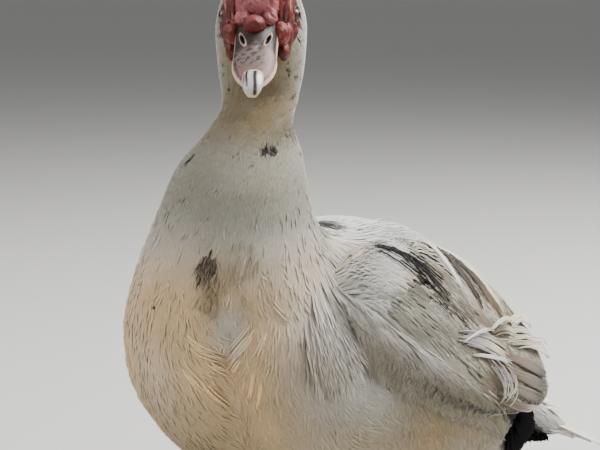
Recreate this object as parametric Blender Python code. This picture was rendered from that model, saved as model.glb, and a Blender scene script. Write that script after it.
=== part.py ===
"""Standing muscovy duck, a still life-size model.

Metres, +Z up. The chest faces -Y and the duck's left side is at +X. The head is
turned towards the duck's left about the upright axis through the neck.
"""
import math

import bmesh
import bpy
import numpy as np
from mathutils import Matrix, Vector

GROUP_NAME = "muscovy_duck"
GAP = 0.0003
REST_GAP = 0.0006
HEAD_TURN = math.radians(40.4)
HEAD_SWAY = (0.0041, 0.0035)
RING_COUNT = 28

# One row for each ring from the rump to the forehead, in the middle plane:
# back y, back z, front y, front z, half width, place of the widest point, share of the turn
RINGS = (
    (0.306, 0.117, 0.300, 0.066, 0.036, 0.50, 0.0),
    (0.285, 0.142, 0.263, 0.053, 0.055, 0.50, 0.0),
    (0.249, 0.180, 0.215, 0.053, 0.076, 0.50, 0.0),
    (0.206, 0.225, 0.156, 0.062, 0.094, 0.50, 0.0),
    (0.158, 0.260, 0.091, 0.074, 0.106, 0.50, 0.0),
    (0.115, 0.277, 0.028, 0.089, 0.110, 0.50, 0.0),
    (0.084, 0.280, -0.027, 0.112, 0.110, 0.50, 0.0),
    (0.060, 0.2805, -0.066, 0.151, 0.104, 0.48, 0.0),
    (0.0405, 0.286, -0.084, 0.200, 0.0842, 0.46, 0.02),
    (0.029, 0.2995, -0.084, 0.250, 0.0648, 0.46, 0.08),
    (0.024, 0.319, -0.0760, 0.292, 0.0512, 0.48, 0.22),
    (0.0198, 0.341, -0.0700, 0.325, 0.0412, 0.50, 0.40),
    (0.0216, 0.361, -0.0540, 0.351, 0.0272, 0.50, 0.60),
    (0.0267, 0.380, -0.0396, 0.369, 0.0250, 0.52, 0.95),
    (0.0315, 0.400, -0.0305, 0.383, 0.0280, 0.55, 1.0),
    (0.034, 0.421, -0.032, 0.393, 0.0296, 0.58, 1.0),
    (0.030, 0.441, -0.035, 0.399, 0.0300, 0.60, 1.0),
    (0.020, 0.456, -0.038, 0.404, 0.0270, 0.60, 1.0),
    (0.004, 0.463, -0.041, 0.408, 0.0230, 0.58, 1.0),
    (-0.013, 0.461, -0.0430, 0.412, 0.0205, 0.55, 1.0),
    (-0.029, 0.453, -0.0445, 0.416, 0.0178, 0.52, 1.0),
    (-0.040, 0.443, -0.0460, 0.420, 0.0140, 0.50, 1.0),
)
NECK_START = 9.0
NECK_END = 13.0
HEAD_END = float(len(RINGS) - 1)


def new_collection(name):
    """A collection linked to the scene."""
    made = bpy.data.collections.new(name)
    bpy.context.scene.collection.children.link(made)
    return made


def clear_scene():
    """Remove the startup objects."""
    for item in list(bpy.data.objects):
        bpy.data.objects.remove(item)


def smooth_row(rows, place):
    """A row between the given rows, on a smooth curve through them."""
    table = np.array(rows)
    index = min(int(place), len(table) - 2)
    share = place - index
    first = table[index]
    second = table[index + 1]
    before = table[max(index - 1, 0)]
    after = table[min(index + 2, len(table) - 1)]
    start_slope = (second - before) / 2.0
    end_slope = (after - first) / 2.0
    square = share * share
    cube = square * share
    return (
        first * (2 * cube - 3 * square + 1)
        + start_slope * (cube - 2 * square + share)
        + second * (3 * square - 2 * cube)
        + end_slope * (cube - square)
    )


def turn_point(point, turn):
    """A point turned about the upright axis through the neck, and swayed with it."""
    x, y, z = point
    share = turn / HEAD_TURN
    return Vector((
        x * math.cos(turn) - y * math.sin(turn) + HEAD_SWAY[0] * share,
        x * math.sin(turn) + y * math.cos(turn) + HEAD_SWAY[1] * share,
        z,
    ))


def body_ring(place, grow=0.0, shift=0.0, count=RING_COUNT, rows=RINGS):
    """The closed ring of points at a place along the body, neck and head."""
    back_y, back_z, front_y, front_z, half_width, widest, turn_share = smooth_row(rows, place)
    back = np.array((back_y, back_z))
    front = np.array((front_y, front_z))
    length = float(np.linalg.norm(back - front))
    up = (back - front) / length
    along = np.array((-up[1], up[0]))
    middle = front + up * length * widest + along * shift
    ring = []
    for step in range(count):
        angle = 2.0 * math.pi * step / count
        reach = length * (1.0 - widest) if math.cos(angle) > 0.0 else length * widest
        across = (half_width + grow) * math.sin(angle)
        level = middle + up * (reach + grow) * math.cos(angle)
        ring.append(turn_point((across, level[0], level[1]), HEAD_TURN * turn_share))
    return ring


def mesh_object(name, points, faces, group):
    """A mesh object with its faces turned outwards."""
    data = bpy.data.meshes.new(name)
    data.from_pydata([tuple(point) for point in points], [], faces)
    shape = bmesh.new()
    shape.from_mesh(data)
    bmesh.ops.recalc_face_normals(shape, faces=shape.faces)
    shape.to_mesh(data)
    shape.free()
    made = bpy.data.objects.new(name, data)
    group.objects.link(made)
    return made


def loft(name, rings, group):
    """A closed skin over rings of equal count; a ring of one point is a tip."""
    points = []
    starts = []
    for ring in rings:
        starts.append(len(points))
        points.extend(ring)
    faces = []
    for low in range(len(rings) - 1):
        faces.extend(band(rings[low], rings[low + 1], starts[low], starts[low + 1]))
    if len(rings[0]) > 1:
        faces.append(list(range(starts[0], starts[0] + len(rings[0]))))
    if len(rings[-1]) > 1:
        faces.append(list(range(starts[-1], starts[-1] + len(rings[-1]))))
    return mesh_object(name, points, faces, group)


def band(low_ring, high_ring, low_start, high_start):
    """The faces between two neighbouring rings."""
    count = max(len(low_ring), len(high_ring))
    faces = []
    for step in range(count):
        after = (step + 1) % count
        if len(low_ring) == 1:
            faces.append((low_start, high_start + after, high_start + step))
        elif len(high_ring) == 1:
            faces.append((low_start + step, low_start + after, high_start))
        else:
            faces.append((low_start + step, low_start + after, high_start + after, high_start + step))
    return faces


def body_range(name, first, last, group, grow=0.0, first_shift=0.0, last_shift=0.0, count=RING_COUNT):
    """The part of the body between two places, flat at both ends."""
    steps = max(2, int(round((last - first) * 2)))
    rings = []
    for step in range(steps + 1):
        place = first + (last - first) * step / steps
        shift = 0.0
        if step == 0:
            shift = first_shift
        if step == steps:
            shift = last_shift
        rings.append(body_ring(place, grow, shift, count))
    return loft(name, rings, group)


def oval_ring(centre, side, rise, half_side, half_rise, count):
    """An oval of points about a centre in the plane of two directions."""
    ring = []
    for step in range(count):
        angle = 2.0 * math.pi * step / count
        ring.append(centre + side * half_side * math.cos(angle) + rise * half_rise * math.sin(angle))
    return ring


def oval_path(name, rows, group, count=12, lean=0.0, grow=0.0, turn=0.0):
    """Ovals along a path: x where given, y, z, half height, half thickness in each row."""
    rings = []
    rows = [row if len(row) == 5 else (0.0, *row) for row in rows]
    for index, row in enumerate(rows):
        here = Vector(row[:3])
        before = Vector(rows[max(index - 1, 0)][:3])
        after = Vector(rows[min(index + 1, len(rows) - 1)][:3])
        ahead = (after - before).normalized()
        rise = Vector((-math.sin(lean), 0.0, math.cos(lean)))
        rise = (rise - ahead * rise.dot(ahead)).normalized()
        side = rise.cross(ahead).normalized()
        if index == 0:
            here = here - ahead * grow
        if index == len(rows) - 1:
            here = here + ahead * grow
        ring = oval_ring(here, side, rise, row[4] + grow, row[3] + grow, count)
        rings.append([turn_point(point, turn) for point in ring])
    return loft(name, rings, group)


def ball(name, centre, radii, group, count=12, levels=7, turn=0.0):
    """A closed rounded body with the given half sizes."""
    rings = [[Vector((0.0, 0.0, -1.0))]]
    for level in range(1, levels):
        tilt = math.pi * level / levels
        radius = math.sin(tilt)
        height = -math.cos(tilt)
        rings.append([
            Vector((
                radius * math.cos(2.0 * math.pi * step / count),
                radius * math.sin(2.0 * math.pi * step / count),
                height,
            ))
            for step in range(count)
        ])
    rings.append([Vector((0.0, 0.0, 1.0))])
    placed = []
    for ring in rings:
        placed.append([
            turn_point((centre[0] + p.x * radii[0], centre[1] + p.y * radii[1], centre[2] + p.z * radii[2]), turn)
            for p in ring
        ])
    return loft(name, placed, group)


def biggest_shell(data):
    """Keep only the largest closed surface of a mesh."""
    shape = bmesh.new()
    shape.from_mesh(data)
    seen = set()
    shells = []
    for start in shape.verts:
        if start in seen:
            continue
        seen.add(start)
        shell = [start]
        waiting = [start]
        while waiting:
            here = waiting.pop()
            for edge in here.link_edges:
                other = edge.other_vert(here)
                if other not in seen:
                    seen.add(other)
                    shell.append(other)
                    waiting.append(other)
        shells.append(shell)
    shells.sort(key=lambda shell: shell_size(shell), reverse=True)
    spare = [vert for shell in shells[1:] for vert in shell]
    bmesh.ops.delete(shape, geom=spare, context="VERTS")
    shape.to_mesh(data)
    shape.free()


def shell_size(shell):
    """The volume of the box about a shell."""
    points = np.array([vert.co for vert in shell])
    return float(np.prod(points.max(axis=0) - points.min(axis=0) + 1e-6))


def boolean(target, helpers, operation, solver="MANIFOLD"):
    """Join or cut a body with helper bodies, then remove the helpers."""
    cutters = new_collection(target.name + "_helpers")
    for helper in helpers:
        for group in list(helper.users_collection):
            group.objects.unlink(helper)
        cutters.objects.link(helper)
        helper.hide_render = True
        helper.display_type = "WIRE"
    modifier = target.modifiers.new("shape", "BOOLEAN")
    modifier.operand_type = "COLLECTION"
    modifier.collection = cutters
    modifier.operation = operation
    modifier.solver = solver
    bpy.context.view_layer.update()
    graph = bpy.context.evaluated_depsgraph_get()
    result = bpy.data.meshes.new_from_object(target.evaluated_get(graph))
    target.modifiers.clear()
    target.data = result
    result.name = target.name
    biggest_shell(result)
    for helper in list(cutters.objects):
        bpy.data.objects.remove(helper)
    bpy.data.collections.remove(cutters)
    return target


def finish(target, material):
    """Give a body its one material."""
    target.data.materials.clear()
    target.data.materials.append(material)
    target.data.name = target.name


def paint(name, colour, roughness):
    """A plain surface for a node."""
    made = bpy.data.materials.new(name)
    made.use_nodes = True
    shader = made.node_tree.nodes["Principled BSDF"]
    shader.inputs["Base Color"].default_value = (*colour, 1.0)
    shader.inputs["Roughness"].default_value = roughness
    return made


SIDES = (("left", 1.0), ("right", -1.0))

# The folded wing: x, y, z, half height, half thickness from the shoulder to the tip
WING_ROWS = (
    (0.070, -0.012, 0.245, 0.014, 0.008),
    (0.0865, 0.008, 0.244, 0.031, 0.013),
    (0.098, 0.040, 0.237, 0.045, 0.015),
    (0.102, 0.080, 0.222, 0.053, 0.015),
    (0.099, 0.125, 0.203, 0.055, 0.014),
    (0.089, 0.170, 0.185, 0.049, 0.012),
    (0.076, 0.212, 0.167, 0.040, 0.009),
    (0.063, 0.250, 0.152, 0.029, 0.007),
    (0.053, 0.277, 0.141, 0.018, 0.005),
    (0.049, 0.289, 0.136, 0.010, 0.0035),
)
WING_LEAN = math.radians(32.0)

# The tiers of wing feathers from the tip forwards: count, first and last root along the
# wing, first and last height on it in degrees, length along the wing, drop, half width, lift
WING_TIERS = (
    ("primary", 4, 0.72, 0.62, -50.0, 8.0, 0.36, 6.0, 0.0090, 0.0012),
    ("secondary", 7, 0.60, 0.42, -62.0, 34.0, 0.35, -4.0, 0.0122, 0.0024),
    ("tertial", 3, 0.50, 0.40, 48.0, 78.0, 0.36, -14.0, 0.0140, 0.0036),
    ("great_covert", 7, 0.38, 0.25, -66.0, 60.0, 0.25, -4.0, 0.0130, 0.0036),
    ("middle_covert", 6, 0.18, 0.10, -66.0, 70.0, 0.25, -3.0, 0.0140, 0.0048),
)
SHAFT_RISE = 0.0007
VANE_EDGE = 0.0006
VANE_MIDDLE = 0.0012

# The loose feather that lies across the left wing: roots and tip along the wing and on its height
LOOSE_FEATHER = (0.55, -38.0, 0.93, 4.0, 0.0060, 0.0085)

# The fanned tail from its root to its tip, in rows like those of the body
TAIL_RINGS = (
    (0.306, 0.117, 0.300, 0.066, 0.036, 0.50, 0.0),
    (0.325, 0.101, 0.317, 0.059, 0.039, 0.50, 0.0),
    (0.347, 0.083, 0.340, 0.054, 0.040, 0.50, 0.0),
    (0.367, 0.067, 0.364, 0.050, 0.035, 0.50, 0.0),
    (0.379, 0.057, 0.378, 0.049, 0.025, 0.50, 0.0),
)
TAIL_FEATHERS = 12
TAIL_SPREAD = math.radians(19.0)
TAIL_SLOPE = math.radians(31.0)
TAIL_ROOT = (0.020, 0.318, 0.0865)
TAIL_LENGTH = 0.147
# Shorter rows over and under the tail feathers: name, count, side, spread, start y, start z, length, half width
TAIL_COVERS = (
    ("over", 5, 0.020, 20.0, 0.313, 0.0990, 0.062, 0.0120, 31.0),
    ("under", 5, 0.020, 18.0, 0.315, 0.0770, 0.070, 0.0120, 25.0),
)

# The bill before the head is turned: y, z of the mouth line, half width, height above it
BILL_UPPER_ROWS = (
    (-0.0340, 0.4165, 0.0125, 0.0200),
    (-0.0440, 0.4130, 0.0140, 0.0220),
    (-0.0550, 0.4085, 0.0139, 0.0185),
    (-0.0660, 0.4035, 0.0137, 0.0140),
    (-0.0745, 0.3990, 0.0142, 0.0108),
    (-0.0820, 0.3952, 0.0131, 0.0086),
    (-0.0880, 0.3922, 0.0106, 0.0068),
    (-0.0925, 0.3898, 0.0072, 0.0050),
    (-0.0950, 0.3880, 0.0040, 0.0035),
)
BILL_LOWER_ROWS = (
    (-0.0340, 0.4160, 0.0110, 0.0100),
    (-0.0440, 0.4125, 0.0122, 0.0085),
    (-0.0550, 0.4080, 0.0122, 0.0060),
    (-0.0660, 0.4030, 0.0120, 0.0048),
    (-0.0745, 0.3985, 0.0122, 0.0042),
    (-0.0820, 0.3947, 0.0110, 0.0037),
    (-0.0880, 0.3917, 0.0086, 0.0030),
    (-0.0915, 0.3898, 0.0055, 0.0022),
)
# The nail at the tip of the bill: y, z, half thickness, half width
NAIL_ROWS = (
    (-0.0845, 0.3990, 0.0008, 0.0028),
    (-0.0865, 0.3978, 0.0024, 0.0056),
    (-0.0900, 0.3958, 0.0034, 0.0066),
    (-0.0945, 0.3922, 0.0038, 0.0067),
    (-0.0988, 0.3880, 0.0032, 0.0054),
    (-0.1008, 0.3840, 0.0014, 0.0026),
)
EYE_CENTRE = (0.0210, -0.0140, 0.4310)
EYE_RADIUS = 0.0062

# Each leg: from the belly to the floor
KNEE_ROWS = (
    (0.052, 0.080, 0.130, 0.036, 0.027),
    (0.055, 0.095, 0.105, 0.033, 0.024),
    (0.055, 0.109, 0.086, 0.024, 0.018),
    (0.0540, 0.1175, 0.0720, 0.0145, 0.0120),
    (0.0530, 0.1210, 0.0620, 0.0098, 0.0088),
)
SHANK_ROWS = (
    (0.0530, 0.1195, 0.0780, 0.0070, 0.0062),
    (0.0530, 0.1215, 0.0660, 0.0085, 0.0075),
    (0.0528, 0.1230, 0.0590, 0.0085, 0.0075),
    (0.0524, 0.1200, 0.0460, 0.0062, 0.0055),
    (0.0520, 0.1150, 0.0290, 0.0060, 0.0055),
    (0.0518, 0.1095, 0.0150, 0.0070, 0.0064),
    (0.0515, 0.1080, 0.0085, 0.0050, 0.0050),
)
ANKLE = (0.0515, 0.1075)
TOE_HEIGHT = 0.0085
TOES = (
    ("inner", -24.0, 0.046),
    ("middle", 2.0, 0.064),
    ("outer", 27.0, 0.058),
)
HIND_TOE = ("hind", 168.0, 0.020)
CLAW_LENGTH = 0.011
WEB_TOP = 0.0028
WEB_BOTTOM = 0.0009


def half_arch(centre_y, mouth_z, half_width, height, count, grow):
    """A flat-based arch across the bill; a negative height makes a keel below."""
    base = mouth_z - grow if height > 0.0 else mouth_z + grow
    width = half_width + grow
    rise = height + math.copysign(grow, height)
    ring = [Vector((-width, centre_y, base)), Vector((0.0, centre_y, base)), Vector((width, centre_y, base))]
    for step in range(1, count):
        angle = math.pi * step / count
        ring.append(Vector((
            width * math.cos(angle),
            centre_y,
            mouth_z + rise * (0.12 + 0.88 * math.sin(angle)),
        )))
    return ring


def bill_half(name, rows, sign, group, grow=0.0):
    """The upper or lower half of the bill, turned with the head."""
    rings = []
    for index, (centre_y, mouth_z, half_width, height) in enumerate(rows):
        level = mouth_z + sign * GAP / 2.0
        place = centre_y
        if index == 0:
            place = centre_y + grow
        if index == len(rows) - 1:
            place = centre_y - grow
        ring = half_arch(place, level, half_width, sign * height, 8, grow)
        rings.append([turn_point(point, HEAD_TURN) for point in ring])
    return loft(name, rings, group)


def vane_section(left, middle, right, up, edge, thick):
    """Six points across a feather: its edges thin and its shaft line raised."""
    return [
        left - up * edge / 2.0,
        middle - up * thick / 2.0,
        right - up * edge / 2.0,
        right + up * edge / 2.0,
        middle + up * (thick / 2.0 + SHAFT_RISE),
        left + up * edge / 2.0,
    ]


def vane_width(share):
    """The width of a feather along its length, as a share of the widest."""
    if share < 0.75:
        return 0.62 + 0.38 * math.sin(math.pi / 2.0 * share / 0.75)
    tip = (share - 0.75) / 0.25
    return math.sqrt(max(0.0, 1.0 - tip * tip * 0.93))


def vane(name, line, side, up, half_width, group, shares):
    """A closed feather along a line of points, with its side and up directions."""
    rings = []
    for point, across, rise, share in zip(line, side, up, shares):
        reach = across * half_width * vane_width(share)
        taper = 1.0 - 0.35 * share
        rings.append(vane_section(
            point - reach, point, point + reach, rise, VANE_EDGE * taper, VANE_MIDDLE * taper,
        ))
    return loft(name, rings, group)


VANE_SHARES = (0.0, 0.45, 0.85, 1.0)


def wing_frame(place, sign):
    """The centre and directions of the wing at a place from the shoulder to the tip."""
    rows = mirror_rows(WING_ROWS, sign)
    span = (len(rows) - 1) * place
    last = len(rows) - 1.001
    row = smooth_row(rows, min(span, last))
    ahead = Vector((smooth_row(rows, min(span + 0.3, last)) - smooth_row(rows, max(min(span, last) - 0.3, 0.0)))[:3])
    ahead.normalize()
    centre = Vector(row[:3]) + ahead * max(0.0, span - last) * 0.030
    rise = Vector((-math.sin(WING_LEAN) * sign, 0.0, math.cos(WING_LEAN)))
    rise = (rise - ahead * rise.dot(ahead)).normalized()
    out = rise.cross(ahead).normalized() * -sign
    if out.x * sign < 0.0:
        out = -out
    return centre, ahead, rise, out, row[3], row[4]


def wing_point(place, height, sign, lift):
    """A point over the wing, its side direction across the feather, and the way out."""
    centre, ahead, rise, out, half_height, half_thick = wing_frame(place, sign)
    half_height = max(half_height, 0.008)
    half_thick = max(half_thick, 0.003)
    angle = math.radians(height)
    surface = centre + out * half_thick * math.cos(angle) + rise * half_height * math.sin(angle)
    normal = (out * math.cos(angle) / half_thick + rise * math.sin(angle) / half_height).normalized()
    across = normal.cross(ahead).normalized() * sign
    return surface + normal * lift, across, normal


def wing_vane(name, sign, root, height, length, drop, half_width, lift, group, tip_lift=0.0016):
    """One feather laid over the wing from its root towards the tip."""
    line = []
    side = []
    up = []
    for share in VANE_SHARES:
        place = root + length * share
        level = height + drop * share
        point, across, normal = wing_point(place, level, sign, lift * min(1.0, share * 2.5) + tip_lift * share - 0.0008)
        line.append(point)
        side.append(across)
        up.append(normal)
    return vane(name, line, side, up, half_width, group, VANE_SHARES)


def wing_feathers(sign, group):
    """The overlapping tiers of feathers on one wing."""
    made = []
    for name, count, root_a, root_b, height_a, height_b, length, drop, half_width, lift in WING_TIERS:
        for step in range(count):
            share = step / (count - 1)
            root = root_a + (root_b - root_a) * share
            height = height_a + (height_b - height_a) * share
            reach = length * (1.0 - 0.10 * abs(share - 0.4))
            stack = lift + 0.0006 * (step % 2) + 0.0004 * share
            made.append(wing_vane(name, sign, root, height, reach, drop, half_width, stack, group))
    if sign > 0.0:
        root, height, tip, tip_height, half_width, lift = LOOSE_FEATHER
        made.append(wing_vane(
            "loose", sign, root, height, tip - root, tip_height - height, half_width, lift, group, 0.002,
        ))
    return made


def fan_vane(name, share, root, spread, slope, length, half_width, arch, group):
    """One feather of a fan about the tail; the share runs from one edge to the other."""
    angle = spread * share
    ahead = Vector((math.sin(angle), math.cos(angle) * math.cos(slope), -math.cos(angle) * math.sin(slope)))
    up = Vector((share * 0.25, math.sin(slope), math.cos(slope))).normalized()
    across = up.cross(ahead).normalized()
    start = Vector((root[0] * share, root[1], root[2] + arch * (1.0 - share * share)))
    line = [start + ahead * length * part + up * 0.004 * part * part for part in VANE_SHARES]
    count = len(VANE_SHARES)
    return vane(name, line, [across] * count, [up] * count, half_width, group, VANE_SHARES)


def mirror_rows(rows, sign):
    """The rows of a left limb, or of the right one."""
    return [(row[0] * sign, *row[1:]) for row in rows]


def make_trunk(group):
    """The torso, the neck and the head, each flat where it meets the next."""
    torso = body_range("torso", 0.0, NECK_START, group, last_shift=-GAP / 2.0)
    neck = body_range("neck", NECK_START, NECK_END, group, first_shift=GAP / 2.0, last_shift=-GAP / 2.0)
    head = body_range("head", NECK_END, HEAD_END, group, first_shift=GAP / 2.0)
    return torso, neck, head


# Bulbs of bare skin on both sides of the face: x, y, z and half sizes
FACE_BULBS = (
    (0.0070, -0.0448, 0.4385, 0.0070, 0.0096, 0.0098),
    (0.0074, -0.0345, 0.4525, 0.0080, 0.0105, 0.0086),
    (0.0154, -0.0425, 0.4199, 0.0058, 0.0090, 0.0078),
    (0.0172, -0.0370, 0.4090, 0.0038, 0.0085, 0.0066),
    (0.0146, -0.0385, 0.4395, 0.0029, 0.0088, 0.0120),
    (0.0175, -0.0335, 0.4390, 0.0029, 0.0088, 0.0135),
    (0.0201, -0.0285, 0.4360, 0.0029, 0.0085, 0.0150),
    (0.0221, -0.0220, 0.4340, 0.0027, 0.0080, 0.0150),
    (0.0203, -0.0330, 0.4180, 0.0034, 0.0080, 0.0090),
    (0.0160, -0.0225, 0.4515, 0.0058, 0.0090, 0.0066),
    (0.0190, -0.0120, 0.4440, 0.0046, 0.0075, 0.0046),
    (0.0215, -0.0150, 0.4190, 0.0034, 0.0076, 0.0046),
    (0.0232, -0.0040, 0.4235, 0.0034, 0.0055, 0.0046),
    (0.0222, -0.0020, 0.4370, 0.0034, 0.0048, 0.0052),
)
KNOB = (-0.0009, -0.0548, 0.4262, 0.0074, 0.0086, 0.0067)
BROW = (0.0000, -0.0460, 0.4385, 0.0072, 0.0088, 0.0092)
NOSTRIL_ROWS = (
    (0.0094, -0.0585, 0.4205, 0.0008, 0.0006),
    (0.0090, -0.0605, 0.4191, 0.0020, 0.0013),
    (0.0082, -0.0635, 0.4172, 0.0028, 0.0016),
    (0.0077, -0.0660, 0.4153, 0.0020, 0.0013),
    (0.0073, -0.0680, 0.4138, 0.0008, 0.0006),
)
LID_RADIUS = 0.0052
LID_THICKNESS = 0.0014


def face_bulbs(group):
    """The knob over the bill and the bulbs of bare skin about it."""
    made = [
        ball("knob", KNOB[:3], KNOB[3:], group, turn=HEAD_TURN),
        ball("brow", BROW[:3], BROW[3:], group, count=8, levels=5, turn=HEAD_TURN),
    ]
    for index, (x, y, z, wide, deep, high) in enumerate(FACE_BULBS):
        for side, sign in SIDES:
            size = 1.0 + 0.08 * math.sin(2.3 * index + sign)
            centre = (x * sign, y, z)
            half = (wide * size, deep * size, high * size)
            made.append(ball("bulb", centre, half, group, count=8, levels=5, turn=HEAD_TURN))
    return made


def eyelid(sign, group):
    """A round fold of skin about one eye."""
    rings = []
    centre = Vector((EYE_CENTRE[0] * sign, EYE_CENTRE[1], EYE_CENTRE[2]))
    steps = 12
    out = Vector((sign, -0.30, 0.05)).normalized()
    ahead = Vector((0.0, -1.0, 0.0))
    ahead = (ahead - out * ahead.dot(out)).normalized()
    up = out.cross(ahead).normalized()
    for step in range(steps):
        angle = 2.0 * math.pi * step / steps
        spoke = ahead * math.cos(angle) + up * math.sin(angle)
        middle = centre + spoke * LID_RADIUS + out * 0.0036
        thick = LID_THICKNESS * (1.0 + 0.25 * abs(math.sin(angle)))
        ring = oval_ring(middle, spoke, out, thick, thick, 6)
        rings.append([turn_point(point, HEAD_TURN) for point in ring])
    points = [point for ring in rings for point in ring]
    faces = []
    for step in range(steps):
        start = step * 6
        after = ((step + 1) % steps) * 6
        faces.extend(band(rings[0], rings[0], start, after))
    return mesh_object("eyelid", points, faces, group)


def make_face(head, group):
    """The bill in two halves with its nail, and the eyes, each let into the head."""
    boolean(head, face_bulbs(group), "UNION")
    boolean(head, [eyelid(sign, group) for side, sign in SIDES], "UNION")
    upper = bill_half("bill_upper", BILL_UPPER_ROWS, 1.0, group)
    lower = bill_half("bill_lower", BILL_LOWER_ROWS, -1.0, group)
    nail = oval_path("bill_nail", NAIL_ROWS, group, turn=HEAD_TURN)
    boolean(upper, [oval_path("nail_room", NAIL_ROWS, group, turn=HEAD_TURN, grow=GAP)], "DIFFERENCE")
    nostrils = [
        oval_path("nostril", mirror_rows(NOSTRIL_ROWS, sign), group, count=10, turn=HEAD_TURN)
        for side, sign in SIDES
    ]
    boolean(upper, nostrils, "DIFFERENCE")
    boolean(nail, [bill_half("nail_floor", BILL_LOWER_ROWS, -1.0, group, grow=GAP)], "DIFFERENCE")
    rooms = [
        bill_half("upper_room", BILL_UPPER_ROWS, 1.0, group, grow=GAP),
        bill_half("lower_room", BILL_LOWER_ROWS, -1.0, group, grow=GAP),
    ]
    made = [upper, lower, nail]
    for side, sign in SIDES:
        centre = (EYE_CENTRE[0] * sign, EYE_CENTRE[1], EYE_CENTRE[2])
        eye = ball("eye_" + side, centre, [EYE_RADIUS] * 3, group, turn=HEAD_TURN, count=14, levels=8)
        made.append(eye)
        grown = [EYE_RADIUS + GAP] * 3
        rooms.append(ball("eye_room", centre, grown, group, turn=HEAD_TURN, count=14, levels=8))
    for room in rooms:
        boolean(head, [room], "DIFFERENCE")
    return made


def make_wing(side, sign, group):
    """A folded wing laid against the side of the torso."""
    wing = oval_path("wing_" + side, mirror_rows(WING_ROWS, sign), group, lean=WING_LEAN * sign)
    boolean(wing, wing_feathers(sign, group), "UNION")
    room = body_range("torso_room", 0.0, NECK_START, group, grow=REST_GAP)
    boolean(wing, [room], "DIFFERENCE")
    return wing


def make_tail(group):
    """The tail from its root to its tip."""
    steps = 2 * (len(TAIL_RINGS) - 1)
    rings = []
    for step in range(steps + 1):
        shift = -GAP if step == 0 else 0.0
        rings.append(body_ring(step / 2.0, 0.0, shift, RING_COUNT, TAIL_RINGS))
    tail = loft("tail", rings, group)
    feathers = []
    for step in range(TAIL_FEATHERS):
        share = 2.0 * step / (TAIL_FEATHERS - 1) - 1.0
        length = TAIL_LENGTH * (1.0 - 0.16 * share * share)
        height = 0.0032 if step % 2 else 0.0018
        feathers.append(fan_vane(
            "tail_feather", share, TAIL_ROOT, TAIL_SPREAD, TAIL_SLOPE, length, 0.0140, 0.006 + height, group,
        ))
    for name, count, side, spread, start_y, start_z, length, half_width, slope in TAIL_COVERS:
        for step in range(count):
            share = 2.0 * step / (count - 1) - 1.0
            arch = 0.008 if name == "over" else 0.001
            feathers.append(fan_vane(
                name, share, (side, start_y, start_z + 0.0006 * (step % 2)), math.radians(spread),
                math.radians(slope), length * (1.0 - 0.2 * share * share), half_width, arch, group,
            ))
    return boolean(tail, feathers, "UNION")


def make_leg(side, sign, group):
    """A feathered thigh, a bare shank, and a webbed foot with four claws."""
    thigh = leg_path("thigh_" + side, KNEE_ROWS, sign, group)
    room = body_range("torso_room", 0.0, NECK_START, group, grow=REST_GAP)
    boolean(thigh, [room], "DIFFERENCE")
    shank = leg_path("shank_" + side, SHANK_ROWS, sign, group)
    boolean(thigh, [leg_path("shank_room", SHANK_ROWS, sign, group, GAP)], "DIFFERENCE")
    made = [thigh, shank]
    made.extend(make_foot(side, sign, group))
    return made


def leg_path(name, rows, sign, group, grow=0.0):
    """Level ovals stacked up a limb, with flat ends."""
    rings = []
    for index, (x, y, z, long_half, wide_half) in enumerate(rows):
        level = z
        if index == 0:
            level = z + grow
        if index == len(rows) - 1:
            level = z - grow
        centre = Vector((x * sign, y, level))
        ahead = Vector((0.0, 1.0, 0.0))
        across = Vector((1.0, 0.0, 0.0))
        rings.append(oval_ring(centre, ahead, across, long_half + grow, wide_half + grow, 14))
    return loft(name, rings, group)


def toe_ring(centre, ahead, half_width, height):
    """A toe section with a flat pad on the floor."""
    side = Vector((ahead.y, -ahead.x, 0.0))
    ring = []
    for across, level in ((-0.55, 0.0), (0.55, 0.0), (1.0, 0.35), (0.8, 0.8), (0.0, 1.0), (-0.8, 0.8), (-1.0, 0.35)):
        ring.append(centre + side * across * half_width + Vector((0.0, 0.0, level * height)))
    return ring


def toe(name, sign, angle, length, group, grow=0.0):
    """A straight toe out from the ankle."""
    turned = math.radians(angle) * sign
    ahead = Vector((math.sin(turned), -math.cos(turned), 0.0))
    start = Vector((ANKLE[0] * sign, ANKLE[1], 0.0))
    rings = []
    for share, width, height in ((0.02, 0.0042, 0.95), (0.3, 0.0040, 0.9), (0.62, 0.0042, 0.75), (0.9, 0.0036, 0.65), (1.0, 0.0026, 0.5)):
        lift = 0.0012 * (1.0 - share / 0.3) if share < 0.3 else 0.0
        centre = start + ahead * length * share + Vector((0.0, 0.0, lift))
        rings.append(toe_ring(centre, ahead, width, TOE_HEIGHT * height))
    return loft(name, rings, group)


def toe_end(sign, angle, length, extra=0.0):
    """The point on the floor where a toe ends."""
    turned = math.radians(angle) * sign
    ahead = Vector((math.sin(turned), -math.cos(turned), 0.0))
    start = Vector((ANKLE[0] * sign, ANKLE[1], 0.0))
    return start + ahead * (length + extra), ahead


def make_foot(side, sign, group):
    """Three webbed front toes, a short hind toe and their claws."""
    foot = ball("foot_" + side, (ANKLE[0] * sign, ANKLE[1], 0.0078), (0.0078, 0.0080, 0.0072), group)
    helpers = []
    for name, angle, length in TOES + (HIND_TOE,):
        helpers.append(toe("toe_" + name, sign, angle, length, group))
    for first, second in ((0, 1), (1, 2)):
        helpers.append(web("web", sign, TOES[first], TOES[second], group))
    for helper in helpers:
        boolean(foot, [helper], "UNION")
    boolean(foot, [leg_path("shank_room", SHANK_ROWS, sign, group, GAP)], "DIFFERENCE")
    made = [foot]
    for name, angle, length in TOES + (HIND_TOE,):
        made.append(claw("claw_" + name + "_" + side, sign, angle, length, group))
    return made


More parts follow.
